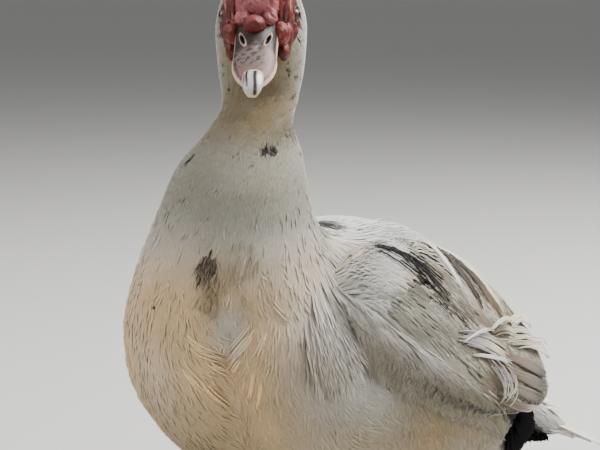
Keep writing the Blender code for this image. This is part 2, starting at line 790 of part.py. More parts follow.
def web(name, sign, first, second, group):
    """The skin between two toes."""
    start = Vector((ANKLE[0] * sign, ANKLE[1], 0.0))
    outline = [start]
    end_a, _ = toe_end(sign, first[1], first[2] * 0.93)
    end_b, _ = toe_end(sign, second[1], second[2] * 0.93)
    hollow = start.lerp((end_a + end_b) / 2.0, 0.90)
    outline.extend([end_a, hollow, end_b])
    low = [Vector((p.x, p.y, WEB_BOTTOM)) for p in outline]
    high = [Vector((p.x, p.y, WEB_TOP)) for p in outline]
    return loft(name, [low, high], group)


def claw(name, sign, angle, length, group):
    """A short hooked claw just past the end of a toe."""
    start, ahead = toe_end(sign, angle, length, GAP)
    side = Vector((ahead.y, -ahead.x, 0.0))
    size = 1.0 if length > 0.03 else 0.7
    rings = []
    for share, radius, level in ((0.0, 0.0021, 0.0026), (0.35, 0.0019, 0.0030), (0.7, 0.0013, 0.0024)):
        centre = start + ahead * CLAW_LENGTH * size * share + Vector((0.0, 0.0, level))
        rings.append(oval_ring(centre, side, Vector((0.0, 0.0, 1.0)), radius * 0.9, radius, 8))
    rings.append([start + ahead * CLAW_LENGTH * size + Vector((0.0, 0.0, 0.0010))])
    return loft(name, rings, group)


def settle(group):
    """Move the whole duck so the middle of its footprint is the origin."""
    points = np.array([vert.co for item in group.objects for vert in item.data.vertices])
    low = points.min(axis=0)
    high = points.max(axis=0)
    shift = Vector((-(low[0] + high[0]) / 2.0, -(low[1] + high[1]) / 2.0, -low[2]))
    for item in group.objects:
        item.data.transform(Matrix.Translation(shift))


def main():
    """Build every node of the duck."""
    clear_scene()
    group = new_collection(GROUP_NAME)
    feather = paint("white_feather", (0.62, 0.62, 0.58), 0.8)
    wing_feather = paint("wing_feather", (0.30, 0.28, 0.25), 0.75)
    red_skin = paint("red_skin", (0.42, 0.08, 0.10), 0.5)
    horn = paint("bill_horn", (0.36, 0.27, 0.28), 0.35)
    nail_horn = paint("nail_horn", (0.62, 0.60, 0.62), 0.3)
    eye_gloss = paint("eye_gloss", (0.05, 0.03, 0.02), 0.08)
    leg_skin = paint("leg_skin", (0.32, 0.26, 0.14), 0.55)
    claw_horn = paint("claw_horn", (0.10, 0.09, 0.08), 0.4)
    torso, neck, head = make_trunk(group)
    face = make_face(head, group)
    finish(torso, feather)
    finish(neck, feather)
    finish(head, red_skin)
    for item in face:
        if item.name.startswith("eye"):
            finish(item, eye_gloss)
        elif item.name == "bill_nail":
            finish(item, nail_horn)
        else:
            finish(item, horn)
    tail = make_tail(group)
    finish(tail, feather)
    for side, sign in SIDES:
        finish(make_wing(side, sign, group), wing_feather)
        for item in make_leg(side, sign, group):
            if item.name.startswith("claw"):
                finish(item, claw_horn)
            elif item.name.startswith("thigh"):
                finish(item, feather)
            else:
                finish(item, leg_skin)
    settle(group)


main()
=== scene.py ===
"""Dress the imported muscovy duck: skin, feathers, bare face, bill, eyes, legs and feet.

The solids of the frame give the shape. Each new piece is a surface worked out with numpy
in the frame's own metres: the chest faces -Y, the duck's left side is at +X, up is +Z.
"""
import math

import bpy
import numpy as np
from bpy.props import FloatProperty, FloatVectorProperty, PointerProperty
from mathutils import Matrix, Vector


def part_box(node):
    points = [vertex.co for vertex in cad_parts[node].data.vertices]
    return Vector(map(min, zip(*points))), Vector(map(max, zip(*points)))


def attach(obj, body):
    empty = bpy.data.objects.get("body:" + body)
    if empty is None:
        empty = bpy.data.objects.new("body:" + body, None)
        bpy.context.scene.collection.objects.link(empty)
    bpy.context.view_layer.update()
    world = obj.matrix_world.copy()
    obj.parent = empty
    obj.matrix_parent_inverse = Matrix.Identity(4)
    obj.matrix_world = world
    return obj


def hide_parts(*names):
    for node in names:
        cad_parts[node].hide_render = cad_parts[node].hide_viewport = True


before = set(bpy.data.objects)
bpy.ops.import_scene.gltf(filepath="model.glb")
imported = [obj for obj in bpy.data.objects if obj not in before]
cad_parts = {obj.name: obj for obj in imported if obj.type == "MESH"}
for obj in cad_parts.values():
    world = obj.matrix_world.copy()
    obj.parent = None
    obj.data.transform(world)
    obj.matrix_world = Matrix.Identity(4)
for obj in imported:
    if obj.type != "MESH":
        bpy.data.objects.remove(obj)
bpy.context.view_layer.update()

bl_info = {
    "name": "Muscovy duck dressing",
    "version": (1, 0, 0),
    "blender": (4, 5, 0),
    "location": "View3D > Sidebar > Duck",
    "description": "Skin, feathers, face, bill, eyes, legs and stage for a standing muscovy duck",
    "category": "Object",
}

# ---- Sizes shared with the solids, metres

HEAD_TURN = math.radians(40.4)
HEAD_SWAY = (0.0041, 0.0035)
# Body rings from the rump to the bill's root: back y and z, breast y and z, half width, where the widest level lies
# between breast and back, and the share of the head's turn
RINGS = (
    (0.306, 0.117, 0.3, 0.066, 0.036, 0.5, 0),
    (0.285, 0.142, 0.263, 0.053, 0.055, 0.5, 0),
    (0.249, 0.18, 0.215, 0.053, 0.076, 0.5, 0),
    (0.206, 0.225, 0.156, 0.062, 0.094, 0.5, 0),
    (0.158, 0.26, 0.091, 0.074, 0.106, 0.5, 0),
    (0.115, 0.277, 0.028, 0.089, 0.11, 0.5, 0),
    (0.084, 0.28, -0.027, 0.112, 0.11, 0.5, 0),
    (0.06, 0.2805, -0.066, 0.151, 0.104, 0.48, 0),
    (0.0405, 0.286, -0.084, 0.2, 0.0842, 0.46, 0.02),
    (0.029, 0.2995, -0.084, 0.25, 0.0648, 0.46, 0.08),
    (0.024, 0.319, -0.076, 0.292, 0.0512, 0.48, 0.22),
    (0.0198, 0.341, -0.07, 0.325, 0.0412, 0.5, 0.4),
    (0.0216, 0.361, -0.054, 0.351, 0.0272, 0.5, 0.6),
    (0.0267, 0.38, -0.0396, 0.369, 0.025, 0.52, 0.95),
    (0.0315, 0.4, -0.0305, 0.383, 0.028, 0.55, 1),
    (0.034, 0.421, -0.032, 0.393, 0.0296, 0.58, 1),
    (0.03, 0.441, -0.035, 0.399, 0.03, 0.6, 1),
    (0.02, 0.456, -0.038, 0.404, 0.027, 0.6, 1),
    (0.004, 0.463, -0.041, 0.408, 0.023, 0.58, 1),
    (-0.013, 0.461, -0.043, 0.412, 0.0205, 0.55, 1),
    (-0.029, 0.453, -0.0445, 0.416, 0.0178, 0.52, 1),
    (-0.04, 0.443, -0.046, 0.42, 0.014, 0.5, 1),
)
HEAD_END = float(len(RINGS) - 1)
# The wing's rod from shoulder to tip: x, y, z, half height, half thickness
WING_ROWS = (
    (0.07, -0.012, 0.245, 0.014, 0.008),
    (0.0865, 0.008, 0.244, 0.031, 0.013),
    (0.098, 0.04, 0.237, 0.045, 0.015),
    (0.102, 0.08, 0.222, 0.053, 0.015),
    (0.099, 0.125, 0.203, 0.055, 0.014),
    (0.089, 0.17, 0.185, 0.049, 0.012),
    (0.076, 0.212, 0.167, 0.04, 0.009),
    (0.063, 0.25, 0.152, 0.029, 0.007),
    (0.053, 0.277, 0.141, 0.018, 0.005),
    (0.049, 0.289, 0.136, 0.01, 0.0035),
)
WING_LEAN = math.radians(32.0)
WING_TIP_STEP = 0.03
# Rings behind the rump, as those of the body
TAIL_RINGS = (
    (0.325, 0.101, 0.317, 0.059, 0.039, 0.5, 0),
    (0.347, 0.083, 0.34, 0.054, 0.04, 0.5, 0),
    (0.367, 0.067, 0.364, 0.05, 0.035, 0.5, 0),
    (0.379, 0.057, 0.378, 0.049, 0.025, 0.5, 0),
)
# Each half of the bill: y, the mouth's z, half width, height above or below the mouth
BILL_UPPER_ROWS = (
    (-0.034, 0.4165, 0.0125, 0.02),
    (-0.044, 0.413, 0.014, 0.022),
    (-0.055, 0.4085, 0.0139, 0.0185),
    (-0.066, 0.4035, 0.0137, 0.014),
    (-0.0745, 0.399, 0.0142, 0.0108),
    (-0.082, 0.3952, 0.0131, 0.0086),
    (-0.088, 0.3922, 0.0106, 0.0068),
    (-0.0925, 0.3898, 0.0072, 0.005),
    (-0.095, 0.388, 0.004, 0.0035),
)
BILL_LOWER_ROWS = (
    (-0.034, 0.416, 0.011, 0.01),
    (-0.044, 0.4125, 0.0122, 0.0085),
    (-0.055, 0.408, 0.0122, 0.006),
    (-0.066, 0.403, 0.012, 0.0048),
    (-0.0745, 0.3985, 0.0122, 0.0042),
    (-0.082, 0.3947, 0.011, 0.0037),
    (-0.088, 0.3917, 0.0086, 0.003),
    (-0.0915, 0.3898, 0.0055, 0.0022),
)
# The nail's path: y, z, half thickness, half width
NAIL_ROWS = (
    (-0.0845, 0.399, 0.0008, 0.0028),
    (-0.0865, 0.3978, 0.0024, 0.0056),
    (-0.09, 0.3958, 0.0034, 0.0066),
    (-0.0945, 0.3922, 0.0038, 0.0067),
    (-0.0988, 0.388, 0.0032, 0.0054),
    (-0.1008, 0.384, 0.0014, 0.0026),
)
# The nostril's middle line: x, y, z
NOSTRIL_ROWS = (
    (0.0094, -0.0585, 0.4205),
    (0.009, -0.0605, 0.4191),
    (0.0082, -0.0635, 0.4172),
    (0.0077, -0.066, 0.4153),
    (0.0073, -0.068, 0.4138),
)
EYE_CENTRE = (0.021, -0.014, 0.431)
EYE_RADIUS = 0.0062
# Level ovals down a thigh and a shank: x, y, z, half length, half width
KNEE_ROWS = (
    (0.052, 0.08, 0.13, 0.036, 0.027),
    (0.055, 0.095, 0.105, 0.033, 0.024),
    (0.055, 0.109, 0.086, 0.024, 0.018),
    (0.054, 0.1175, 0.072, 0.0145, 0.012),
    (0.053, 0.121, 0.062, 0.0098, 0.0088),
)
SHANK_ROWS = (
    (0.053, 0.1195, 0.078, 0.007, 0.0062),
    (0.053, 0.1215, 0.066, 0.0085, 0.0075),
    (0.0528, 0.123, 0.059, 0.0085, 0.0075),
    (0.0524, 0.12, 0.046, 0.0062, 0.0055),
    (0.052, 0.115, 0.029, 0.006, 0.0055),
    (0.0518, 0.1095, 0.015, 0.007, 0.0064),
    (0.0515, 0.108, 0.0085, 0.005, 0.005),
)
ANKLE = (0.0515, 0.1075)
# Each toe: turn from straight ahead in degrees, outwards above zero, and length
TOES = (
    ("inner", -24.0, 0.046),
    ("middle", 2.0, 0.064),
    ("outer", 27.0, 0.058),
    ("hind", 168.0, 0.02),
)
CLAW_LENGTH = 0.011
SIDES = (("left", 1.0), ("right", -1.0))


def frame_shift():
    """The step from the drawing's own place to the frame's, read off the torso's box."""
    low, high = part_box("torso")
    return np.array(((low[0] + high[0]) / 2.0, high[1] - RINGS[0][0], 0.0))


SHIFT = frame_shift()


# ---- Curves and surfaces

def along_rows(rows, place):
    """Smooth values between table rows: a cubic through each pair, its slopes half the step of the neighbours."""
    table = np.array(rows, dtype=float)
    place = np.clip(np.asarray(place, dtype=float), 0.0, len(table) - 1.0)
    index = np.minimum(place.astype(int), len(table) - 2)
    share = (place - index)[..., None]
    first = table[index]
    second = table[index + 1]
    start_slope = (second - table[np.maximum(index - 1, 0)]) / 2.0
    end_slope = (table[np.minimum(index + 2, len(table) - 1)] - first) / 2.0
    square = share * share
    cube = square * share
    return (
        first * (2 * cube - 3 * square + 1)
        + start_slope * (cube - 2 * square + share)
        + second * (3 * square - 2 * cube)
        + end_slope * (cube - square)
    )


def axes(points):
    """The x, y and z of points."""
    return points[..., 0], points[..., 1], points[..., 2]


def matched(*values):
    """Numbers or arrays as arrays of one shape."""
    return np.broadcast_arrays(*(np.asarray(value, float) for value in values))


def head_place(points, share=1.0):
    """Points of the straight head turned and swayed by a share of the head's turn, then moved to the frame."""
    turn = HEAD_TURN * np.asarray(share, dtype=float)
    x = points[..., 0] * np.cos(turn) - points[..., 1] * np.sin(turn) + HEAD_SWAY[0] * share
    y = points[..., 0] * np.sin(turn) + points[..., 1] * np.cos(turn) + HEAD_SWAY[1] * share
    return side_by_side(x, y, points[..., 2]) + SHIFT


ALL_RINGS = TAIL_RINGS[::-1] + RINGS
TAIL_START = -float(len(TAIL_RINGS))


def body_surface(place, angle, lift):
    """Oval rings fanned along the back and breast lines: across = width sin(angle), up = reach cos(angle).

    The place runs from the tail's end, below zero, over the rump at zero to the bill's root at 21.
    """
    place, angle, lift = matched(place, angle, lift)
    row = along_rows(ALL_RINGS, place - TAIL_START)
    back = row[..., 0:2]
    front = row[..., 2:4]
    length = np.linalg.norm(back - front, axis=-1)
    up = (back - front) / length[..., None]
    middle = front + up * (length * row[..., 5])[..., None]
    cosine = np.cos(angle)
    reach = np.where(cosine > 0.0, length * (1.0 - row[..., 5]), length * row[..., 5]) + lift
    across = (row[..., 4] + lift) * np.sin(angle)
    level = middle + up * (reach * cosine)[..., None]
    points = side_by_side(across, level[..., 0], level[..., 1])
    return head_place(points, row[..., 6])


def side_by_side(*parts):
    """Arrays as the last axis of one, each first brought to their common shape."""
    return np.stack(np.broadcast_arrays(*parts), axis=-1)


def around(steps):
    """Angles spread evenly round a full turn."""
    return np.linspace(0.0, math.tau, steps + 1)[:-1]


def unit(vectors):
    """Vectors of length one."""
    return vectors / np.maximum(np.linalg.norm(vectors, axis=-1, keepdims=True), 1e-12)


def wing_surface(place, height, lift, sign):
    """An oval rod along the folded wing: out = thickness cos(height), rise = half height sin(height)."""
    place, height, lift = matched(place, height, lift)
    last = len(WING_ROWS) - 1.0
    span = place * last
    row = along_rows(WING_ROWS, span)
    after = along_rows(WING_ROWS, span + 0.3)[..., :3]
    before = along_rows(WING_ROWS, np.minimum(span, last) - 0.3)[..., :3]
    ahead = unit(after - before)
    centre = row[..., :3] + ahead * (np.maximum(0.0, span - last) * WING_TIP_STEP)[..., None]
    rise = np.broadcast_to(np.array((-math.sin(WING_LEAN), 0.0, math.cos(WING_LEAN))), centre.shape)
    rise = unit(rise - ahead * (rise * ahead).sum(-1, keepdims=True))
    out = unit(np.cross(ahead, rise))
    out = np.where(out[..., :1] < 0.0, -out, out)
    half_height = np.maximum(row[..., 3], 0.008)
    half_thick = np.maximum(row[..., 4], 0.003)
    cosine = np.cos(height)
    sine = np.sin(height)
    normal = unit(out * (cosine / half_thick)[..., None] + rise * (sine / half_height)[..., None])
    points = centre + out * (half_thick * cosine)[..., None] + rise * (half_height * sine)[..., None]
    points = points + normal * lift[..., None]
    return points * np.array((sign, 1.0, 1.0)) + SHIFT


def limb_surface(rows, place, angle, lift, sign):
    """Level ovals stacked up a limb: long half along Y, wide half along X."""
    place, angle, lift = matched(place, angle, lift)
    row = along_rows(rows, place)
    x = row[..., 0] + (row[..., 4] + lift) * np.sin(angle)
    y = row[..., 1] + (row[..., 3] + lift) * np.cos(angle)
    return side_by_side(x * sign, y, row[..., 2]) + SHIFT


# ---- Meshes

def sheet_faces(rows, columns, wrap):
    """Two triangles for each cell of a grid of points, closed round its columns where wrap is true."""
    row = np.arange(rows - 1)[:, None]
    column = np.arange(columns if wrap else columns - 1)[None, :]
    after = (column + 1) % columns
    a = row * columns + column
    b = row * columns + after
    c = (row + 1) * columns + after
    d = (row + 1) * columns + column
    first = side_by_side(a, b, c).reshape(-1, 3)
    second = side_by_side(a, c, d).reshape(-1, 3)
    return np.concatenate((first, second))


def closed_tube(grid):
    """Points and triangles of a grid wrapped round its columns, each end closed by a fan to its middle."""
    rows, columns = grid.shape[:2]
    points = with_ends(grid)
    step = np.arange(columns)
    after = (step + 1) % columns
    first_cap = side_by_side(after, step, np.full(columns, rows * columns))
    last_start = (rows - 1) * columns
    last_cap = side_by_side(last_start + step, last_start + after, np.full(columns, rows * columns + 1))
    faces = np.concatenate((sheet_faces(rows, columns, True), first_cap, last_cap))
    return outward(points, faces)


def with_ends(values):
    """A grid's values and, for the two middles that close its tube, the mean of its first and last ring."""
    return np.concatenate((values.reshape(-1, values.shape[-1]), values[:1].mean(axis=1), values[-1:].mean(axis=1)))


def outward(points, faces):
    """Turn the triangles of a closed surface outwards by the sign of its volume."""
    corner = points[faces]
    volume = np.einsum("ij,ij->i", corner[:, 0], np.cross(corner[:, 1], corner[:, 2])).sum()
    return points, (faces if volume > 0.0 else faces[:, ::-1])


def joined(parts):
    """Several lists of points and triangles as one."""
    starts = np.cumsum([0] + [len(points) for points, _ in parts])
    faces = [faces + start for (_, faces), start in zip(parts, starts)]
    return np.concatenate([points for points, _ in parts]), np.concatenate(faces)


def make_piece(name, points, faces, finish, covers=(), tint=None, patch=None, lay=None, normals=None):
    """A mesh object from arrays, with its colour attribute and its maps, riding on the model."""
    mesh = bpy.data.meshes.new(name)
    mesh.vertices.add(len(points))
    mesh.vertices.foreach_set("co", np.ascontiguousarray(points, dtype=np.float32).ravel())
    corners = np.ascontiguousarray(faces, dtype=np.int32).ravel()
    mesh.loops.add(len(corners))
    mesh.loops.foreach_set("vertex_index", corners)
    mesh.polygons.add(len(faces))
    mesh.polygons.foreach_set("loop_start", np.arange(0, len(corners), 3, dtype=np.int32))
    mesh.polygons.foreach_set("use_smooth", np.full(len(faces), True, dtype=bool))
    if tint is not None:
        colour = np.ones((len(points), 4), dtype=np.float32)
        colour[:, :3] = np.clip(tint, 0.0, 1.0)
        layer = mesh.attributes.new("tint", "FLOAT_COLOR", "POINT")
        layer.data.foreach_set("color", colour.ravel())
    for title, spots in (("lay", lay), ("OFBake", patch)):
        if spots is not None:
            field = mesh.uv_layers.new(name=title)
            field.data.foreach_set("uv", spots[corners].astype(np.float32).ravel())
    mesh.update(calc_edges=True)
    if normals is not None:
        mesh.normals_split_custom_set_from_vertices(normals.astype(np.float32))
    made = bpy.data.objects.new(name, mesh)
    bpy.context.scene.collection.objects.link(made)
    mesh.materials.append(finish)
    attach(made, "root")
    if covers:
        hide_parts(*covers)
    return made


# ---- Colours, linear

def tone(red, green, blue):
    """A colour given in picture values from 0 to 255."""
    value = np.array((red, green, blue), dtype=float) / 255.0
    return np.where(value <= 0.04045, value / 12.92, ((value + 0.055) / 1.055) ** 2.4)


COOL = tone(206, 210, 202)
# Warm tan of the breast's sides, also painted shade low on the body
WARM = tone(170, 146, 106)
# Painted shade of the flank, the wing's lower cover and the flap over the crease
SHADE = tone(146, 138, 116)
# Tan of the throat's stain, darkened as painted shadow under the bill
THROAT = tone(132, 114, 80)
# Dirt tone of the breast stain and the whole coat, also painted shade in the breast's furrow
DIRT_AND_SHADE = tone(152, 132, 98)
STAIN = tone(128, 104, 74)
OLIVE = tone(120, 108, 86)
SLATE = tone(150, 146, 134)
LILAC = tone(214, 208, 206)
TAWNY = tone(108, 94, 78)


def colour_setting(name, description, *picture_value):
    """A colour property, its default given in picture values from 0 to 255."""
    return FloatVectorProperty(name=name, description=description, default=tuple(tone(*picture_value)),
                               subtype="COLOR", size=3, min=0.0, max=1.0)


def hue(name):
    """One of the user's colours as an array."""
    return np.array(tuple(getattr(bpy.context.scene.duck_colours, name)))


# Dark marks in the coat: x, y, z, radius, how dark, how brown
MARKS = (
    (0.0422, -0.213, 0.3449, 0.0026, 0.95, 0),
    (0.0437, -0.207, 0.3446, 0.003, 0.95, 0),
    (-0.0041, -0.2391, 0.3367, 0.0024, 0.85, 0.1),
    (0.0346, -0.1834, 0.3943, 0.0015, 0.8, 0),
    (0.0354, -0.1833, 0.3984, 0.0014, 0.8, 0),
    (-0.0101, -0.2657, 0.2425, 0.0014, 0.7, 0.3),
    (0.03, -0.2568, 0.2705, 0.0056, 0.34, 0.5),
    (0.047, -0.245, 0.273, 0.012, 0.12, 1),
    (0.0345, -0.2585, 0.253, 0.007, 0.14, 1),
    (0.018, -0.12, 0.2807, 0.007, 0.9, 0),
)
# Dark tufts set on the coat: place, angle in degrees, spread, how many, length, how brown, turn
DARK_TUFTS = (
    (11.66, 130, 0.001, 16, 0.005, 0, 0),
    (11.61, 120, 0.0012, 20, 0.0055, 0, 0.1),
    (11.36, -138, 0.0009, 9, 0.005, 0.1, -0.3),
    (14.73, 137, 0.001, 9, 0.0024, 0, 0.2),
    (15, 139, 0.0008, 6, 0.0024, 0, -0.4),
    (14.31, 124, 0.0009, 7, 0.0024, 0.1, 0.1),
    (17.5, 112, 0.0006, 5, 0.0024, 0.2, 0.1),
    (17.15, 128, 0.0006, 5, 0.0024, 0.1, 0.3),
    (16.66, -118, 0.0006, 5, 0.0024, 0.2, 0.1),
    (13.78, -133, 0.0006, 5, 0.0028, 0.1, 0),
    (14.91, -125, 0.0005, 4, 0.0024, 0.3, 0.2),
    (13.4, 120, 0.0012, 8, 0.003, 0.2, 0.1),
    (8.84, -168, 0.0005, 4, 0.004, 0.2, 0),
    (9.5, 158, 0.0034, 74, 0.0125, 0.15, 0.05),
    (9.44, 138, 0.008, 26, 0.013, 0.9, 0),
    (9.05, 154.5, 0.0036, 16, 0.015, 0.9, 0.15),
    (7.05, 5, 0.0045, 110, 0.019, 0, 1.05),
)


def ripple(points, size, seed):
    """A soft random field: the sum of five sine waves, each along a random way and at a random rate, over 3.2."""
    draw = np.random.default_rng(seed)
    total = np.zeros(points.shape[:-1])
    for _ in range(5):
        way = unit(draw.normal(size=3))
        turns = points @ way * (math.tau / size)
        total = total + np.sin(turns * draw.uniform(0.6, 1.6) + draw.uniform(0.0, 6.28))
    return total / 3.2


def blend(first, second, share):
    """The first colour moved towards the second by a share for each point."""
    share = np.clip(share, 0.0, 1.0)[..., None]
    return first * (1.0 - share) + second * share


def ease(value, low, high):
    """A smooth rise from 0 at low to 1 at high."""
    share = np.clip((value - low) / (high - low), 0.0, 1.0)
    return share * share * (3.0 - 2.0 * share)


def plumage(points):
    """The coat's colour at each place: white, tan on the breast and throat, black marks, with painted top light on the
    back and painted shade on neck, head, throat, flanks, lower body and breast furrow.
    """
    x, y, z = axes(points)
    # The back and shoulders are painted brighter: painted top light
    colour = blend(hue("white"), hue("bright"), ease(y, -0.17, -0.09) * ease(z, 0.15, 0.23))
    # The neck and head are painted greyer and darker: painted shade
    colour = blend(colour, hue("neck"), ease(y, -0.13, -0.18) * ease(z, 0.255, 0.315))
    front = ease(y, -0.06, -0.2) * ease(x, 0.104, 0.056)
    warm = front * ease(z, 0.3, 0.235)
    colour = blend(colour, hue("tan"), warm * (0.92 + 0.2 * ripple(points, 0.09, 3)))
    side = ease(x, 0.055, 0.085) * ease(z, 0.255, 0.215) * ease(y, -0.05, -0.16)
    colour = blend(colour, WARM, side * (0.3 + 0.2 * ripple(points, 0.05, 8)))
    stain = np.exp(-((x - 0.04) / 0.024) ** 2 - ((z - 0.252) / 0.024) ** 2) * ease(y, -0.16, -0.22)
    colour = blend(colour, DIRT_AND_SHADE, stain * (0.5 + 0.35 * ripple(points, 0.02, 4)))
    # Darker along the breast's furrow: painted shade in the crease
    groove = np.exp(-((x - 0.044) / 0.009) ** 2) * ease(z, 0.225, 0.205) * ease(y, -0.16, -0.22)
    colour = blend(colour, DIRT_AND_SHADE, groove * 0.2)
    pale = np.exp(-((x - 0.048) / 0.01) ** 2 - ((z - 0.229) / 0.015) ** 2) * ease(y, -0.18, -0.22)
    colour = blend(colour, COOL, pale * 0.75)
    # The flank below the wing is painted darker: painted shade
    flank = ease(y, -0.185, -0.12) * ease(z, 0.2, 0.165) * ease(y, 0.06, 0.0)
    colour = blend(colour, SHADE, flank * (0.8 + 0.15 * ripple(points, 0.05, 9)))
    # Warmer and darker towards the bottom of the body: painted shade
    low = ease(z, 0.205, 0.12) * ease(y, 0.06, -0.06)
    colour = blend(colour, WARM, low * (0.8 + 0.25 * ripple(points, 0.07, 5)))
    # The throat and cheeks under the bill: tan stain with painted shadow under the bill
    facing = (x - 0.02) * math.sin(HEAD_TURN) - (y + 0.18) * math.cos(HEAD_TURN)
    throat = ease(z, 0.338, 0.36) * ease(z, 0.442, 0.405) * ease(facing, -0.008, 0.02)
    colour = blend(colour, THROAT, throat * (0.85 + 0.2 * ripple(points, 0.02, 6)))
    colour = blend(colour, DIRT_AND_SHADE, 0.1 + 0.1 * ripple(points, 0.035, 7))
    rump = ease(y + 1.29 * z, 0.152, 0.164) * ease(z + 0.59 * y, 0.16, 0.15) * ease(y, 0.19, 0.172)
    left_or_rear = np.maximum(ease(x, -0.002, 0.002), ease(y, 0.11, 0.125))
    rump = rump * ease(np.abs(x), 0.006, 0.014) * left_or_rear
    colour = blend(colour, hue("black"), rump)
    for mark_x, mark_y, mark_z, radius, dark, brown in MARKS:
        distance = np.linalg.norm(points - np.array((mark_x, mark_y, mark_z)), axis=-1)
        spot = hue("black") * (1.0 - brown) + STAIN * brown
        colour = blend(colour, spot, dark * ease(distance, radius * 1.35, radius * 0.65))
    return colour


# ---- Finishes

class Number:
    """A value socket that takes part in Python sums."""

    def __init__(self, finish, socket):
        self.finish = finish
        self.socket = socket

    def _with(self, operation, first, second=None):
        inputs = {0: first}
        if second is not None:
            inputs[1] = second
        node = self.finish.node("ShaderNodeMath", {"operation": operation}, inputs)
        return Number(self.finish, node.outputs[0])

    def __add__(self, other):
        return self._with("ADD", self, other)

    __radd__ = __add__

    def __mul__(self, other):
        return self._with("MULTIPLY", self, other)

    __rmul__ = __mul__

    def __sub__(self, other):
        return self._with("SUBTRACT", self, other)

    def __rsub__(self, other):
        return self._with("SUBTRACT", other, self)

    def sine(self):
        """The sine of the value."""
        return self._with("SINE", self)

    def size(self):
        """The value without its sign."""
        return self._with("ABSOLUTE", self)


class Finish:
    """A material and the nodes that feed its shader."""

    def __init__(self, name, **constants):
        self.material = bpy.data.materials.new(name)
        self.material.use_nodes = True
        self.tree = self.material.node_tree
        self.shader = self.tree.nodes["Principled BSDF"]
        for socket_name, value in constants.items():
            self.shader.inputs[socket_name.replace("_", " ")].default_value = value

    def node(self, kind, settings, inputs):
        """Any node, its settings made first and then its sockets set or linked."""
        made = self.tree.nodes.new(kind)
        for key, value in settings.items():
            setattr(made, key, value)
        for key, value in inputs.items():
            self.feed(made.inputs[key], value)
        return made

    def feed(self, socket, value):
        """Link a socket to another, or give it a plain value."""
        if isinstance(value, Number):
            self.tree.links.new(value.socket, socket)
        elif isinstance(value, bpy.types.NodeSocket):
            self.tree.links.new(value, socket)
        else:
            socket.default_value = value

    def place(self):
        """Object coordinates."""
        return self.node("ShaderNodeTexCoord", {}, {}).outputs["Object"]

    def tint(self):
        """The piece's own colour attribute."""
        return self.node("ShaderNodeAttribute", {"attribute_name": "tint"}, {}).outputs["Color"]

    def lay(self):
        """The two numbers of the piece's lay map."""
        field = self.node("ShaderNodeUVMap", {"uv_map": "lay"}, {})
        split = self.node("ShaderNodeSeparateXYZ", {}, {0: field.outputs[0]})
        return Number(self, split.outputs[0]), Number(self, split.outputs[1])

    def noise(self, scale, detail=3.0, rough=0.5):
        """A noise value on Object coordinates."""
        inputs = {"Vector": self.place(), "Scale": scale, "Detail": detail, "Roughness": rough}
        return Number(self, self.node("ShaderNodeTexNoise", {}, inputs).outputs[0])

    def fibre(self, across, along):
        """Noise on the lay map, drawn out along it."""
        field = self.node("ShaderNodeUVMap", {"uv_map": "lay"}, {})
        inputs = {0: field.outputs[0], 1: (across, along, 1.0)}
        scaled = self.node("ShaderNodeVectorMath", {"operation": "MULTIPLY"}, inputs)
        node = self.node("ShaderNodeTexNoise", {}, {"Vector": scaled.outputs[0], "Scale": 3000.0, "Detail": 2.0})
        return Number(self, node.outputs[0])

    def cells(self, scale, feature="F1"):
        """The distance field of scattered cells on Object coordinates."""
        node = self.node("ShaderNodeTexVoronoi", {"feature": feature}, {"Vector": self.place(), "Scale": scale})
        return Number(self, node.outputs["Distance"])

    def darken(self, colour, factor):
        """A colour times a grey value."""
        grey = self.node("ShaderNodeCombineColor", {}, {0: factor, 1: factor, 2: factor}).outputs[0]
        settings = {"data_type": "RGBA", "blend_type": "MULTIPLY"}
        return self.node("ShaderNodeMix", settings, {0: 1.0, 6: colour, 7: grey}).outputs[2]

    def colour(self, value):
        """Feed the base colour."""
        self.feed(self.shader.inputs["Base Color"], value)

    def rough(self, value):
        """Feed the roughness."""
        self.feed(self.shader.inputs["Roughness"], value)

    def relief(self, height, strength, depth):
        """Feed the normal from a height field."""
        bump = self.node("ShaderNodeBump", {}, {"Strength": strength, "Distance": depth, "Height": height})
        self.feed(self.shader.inputs["Normal"], bump.outputs[0])


def coat_finish():
    """Soft body feathers: fine fibres drawn out along each blade by its own lay map."""
    finish = Finish("soft_feather", Roughness=0.85, Specular_IOR_Level=0.15, Sheen_Weight=0.06, Sheen_Roughness=0.6,
                    Subsurface_Weight=0.45, Subsurface_Scale=0.006)
    finish.shader.inputs["Subsurface Radius"].default_value = (1.0, 0.9, 0.8)
    fibre = finish.fibre(1.0, 0.05)
    finish.colour(finish.darken(finish.tint(), 0.86 + 0.26 * fibre))
    finish.relief(fibre, 0.45, 0.0003)
    return finish.material


def dark_finish():
    """Black feathers, almost without a shine."""
    finish = Finish("black_feather", Roughness=0.9, Specular_IOR_Level=0.04)
    fibre = finish.fibre(1.0, 0.05)
    finish.colour(finish.darken(finish.tint(), 0.7 + 0.6 * fibre))
    finish.relief(fibre, 0.45, 0.0003)
    return finish.material


def skin_finish():
    """The skin under the coat, in the coat's colours painted deeper: painted shade under the feathers."""
    finish = Finish("feathered_skin", Roughness=0.9, Specular_IOR_Level=0.15)
    fibre = finish.noise(420.0, 4.0, 0.6)
    finish.colour(finish.darken(finish.tint(), 0.8 + 0.25 * fibre))
    finish.relief(fibre, 0.6, 0.0008)
    return finish.material


def vane_finish():
    """Flight and tail feathers, with barbs slanting from the shaft and wear along them."""
    finish = Finish("feather_vane", Roughness=0.6, Specular_IOR_Level=0.3, Sheen_Weight=0.08,
                    Subsurface_Weight=0.12, Subsurface_Scale=0.003)
    across, along = finish.lay()
    barb = ((along - across.size() * 1.3) * 4200.0).sine() * 0.5 + 0.5
    streak = finish.fibre(0.35, 0.03)
    wear = finish.noise(260.0, 3.0)
    finish.colour(finish.darken(finish.tint(), 0.66 + barb * 0.08 + streak * 0.36 + wear * 0.16))
    finish.rough(0.52 + 0.2 * wear)
    finish.relief(barb * 0.6 + streak * 1.2, 0.4, 0.0003)
    return finish.material


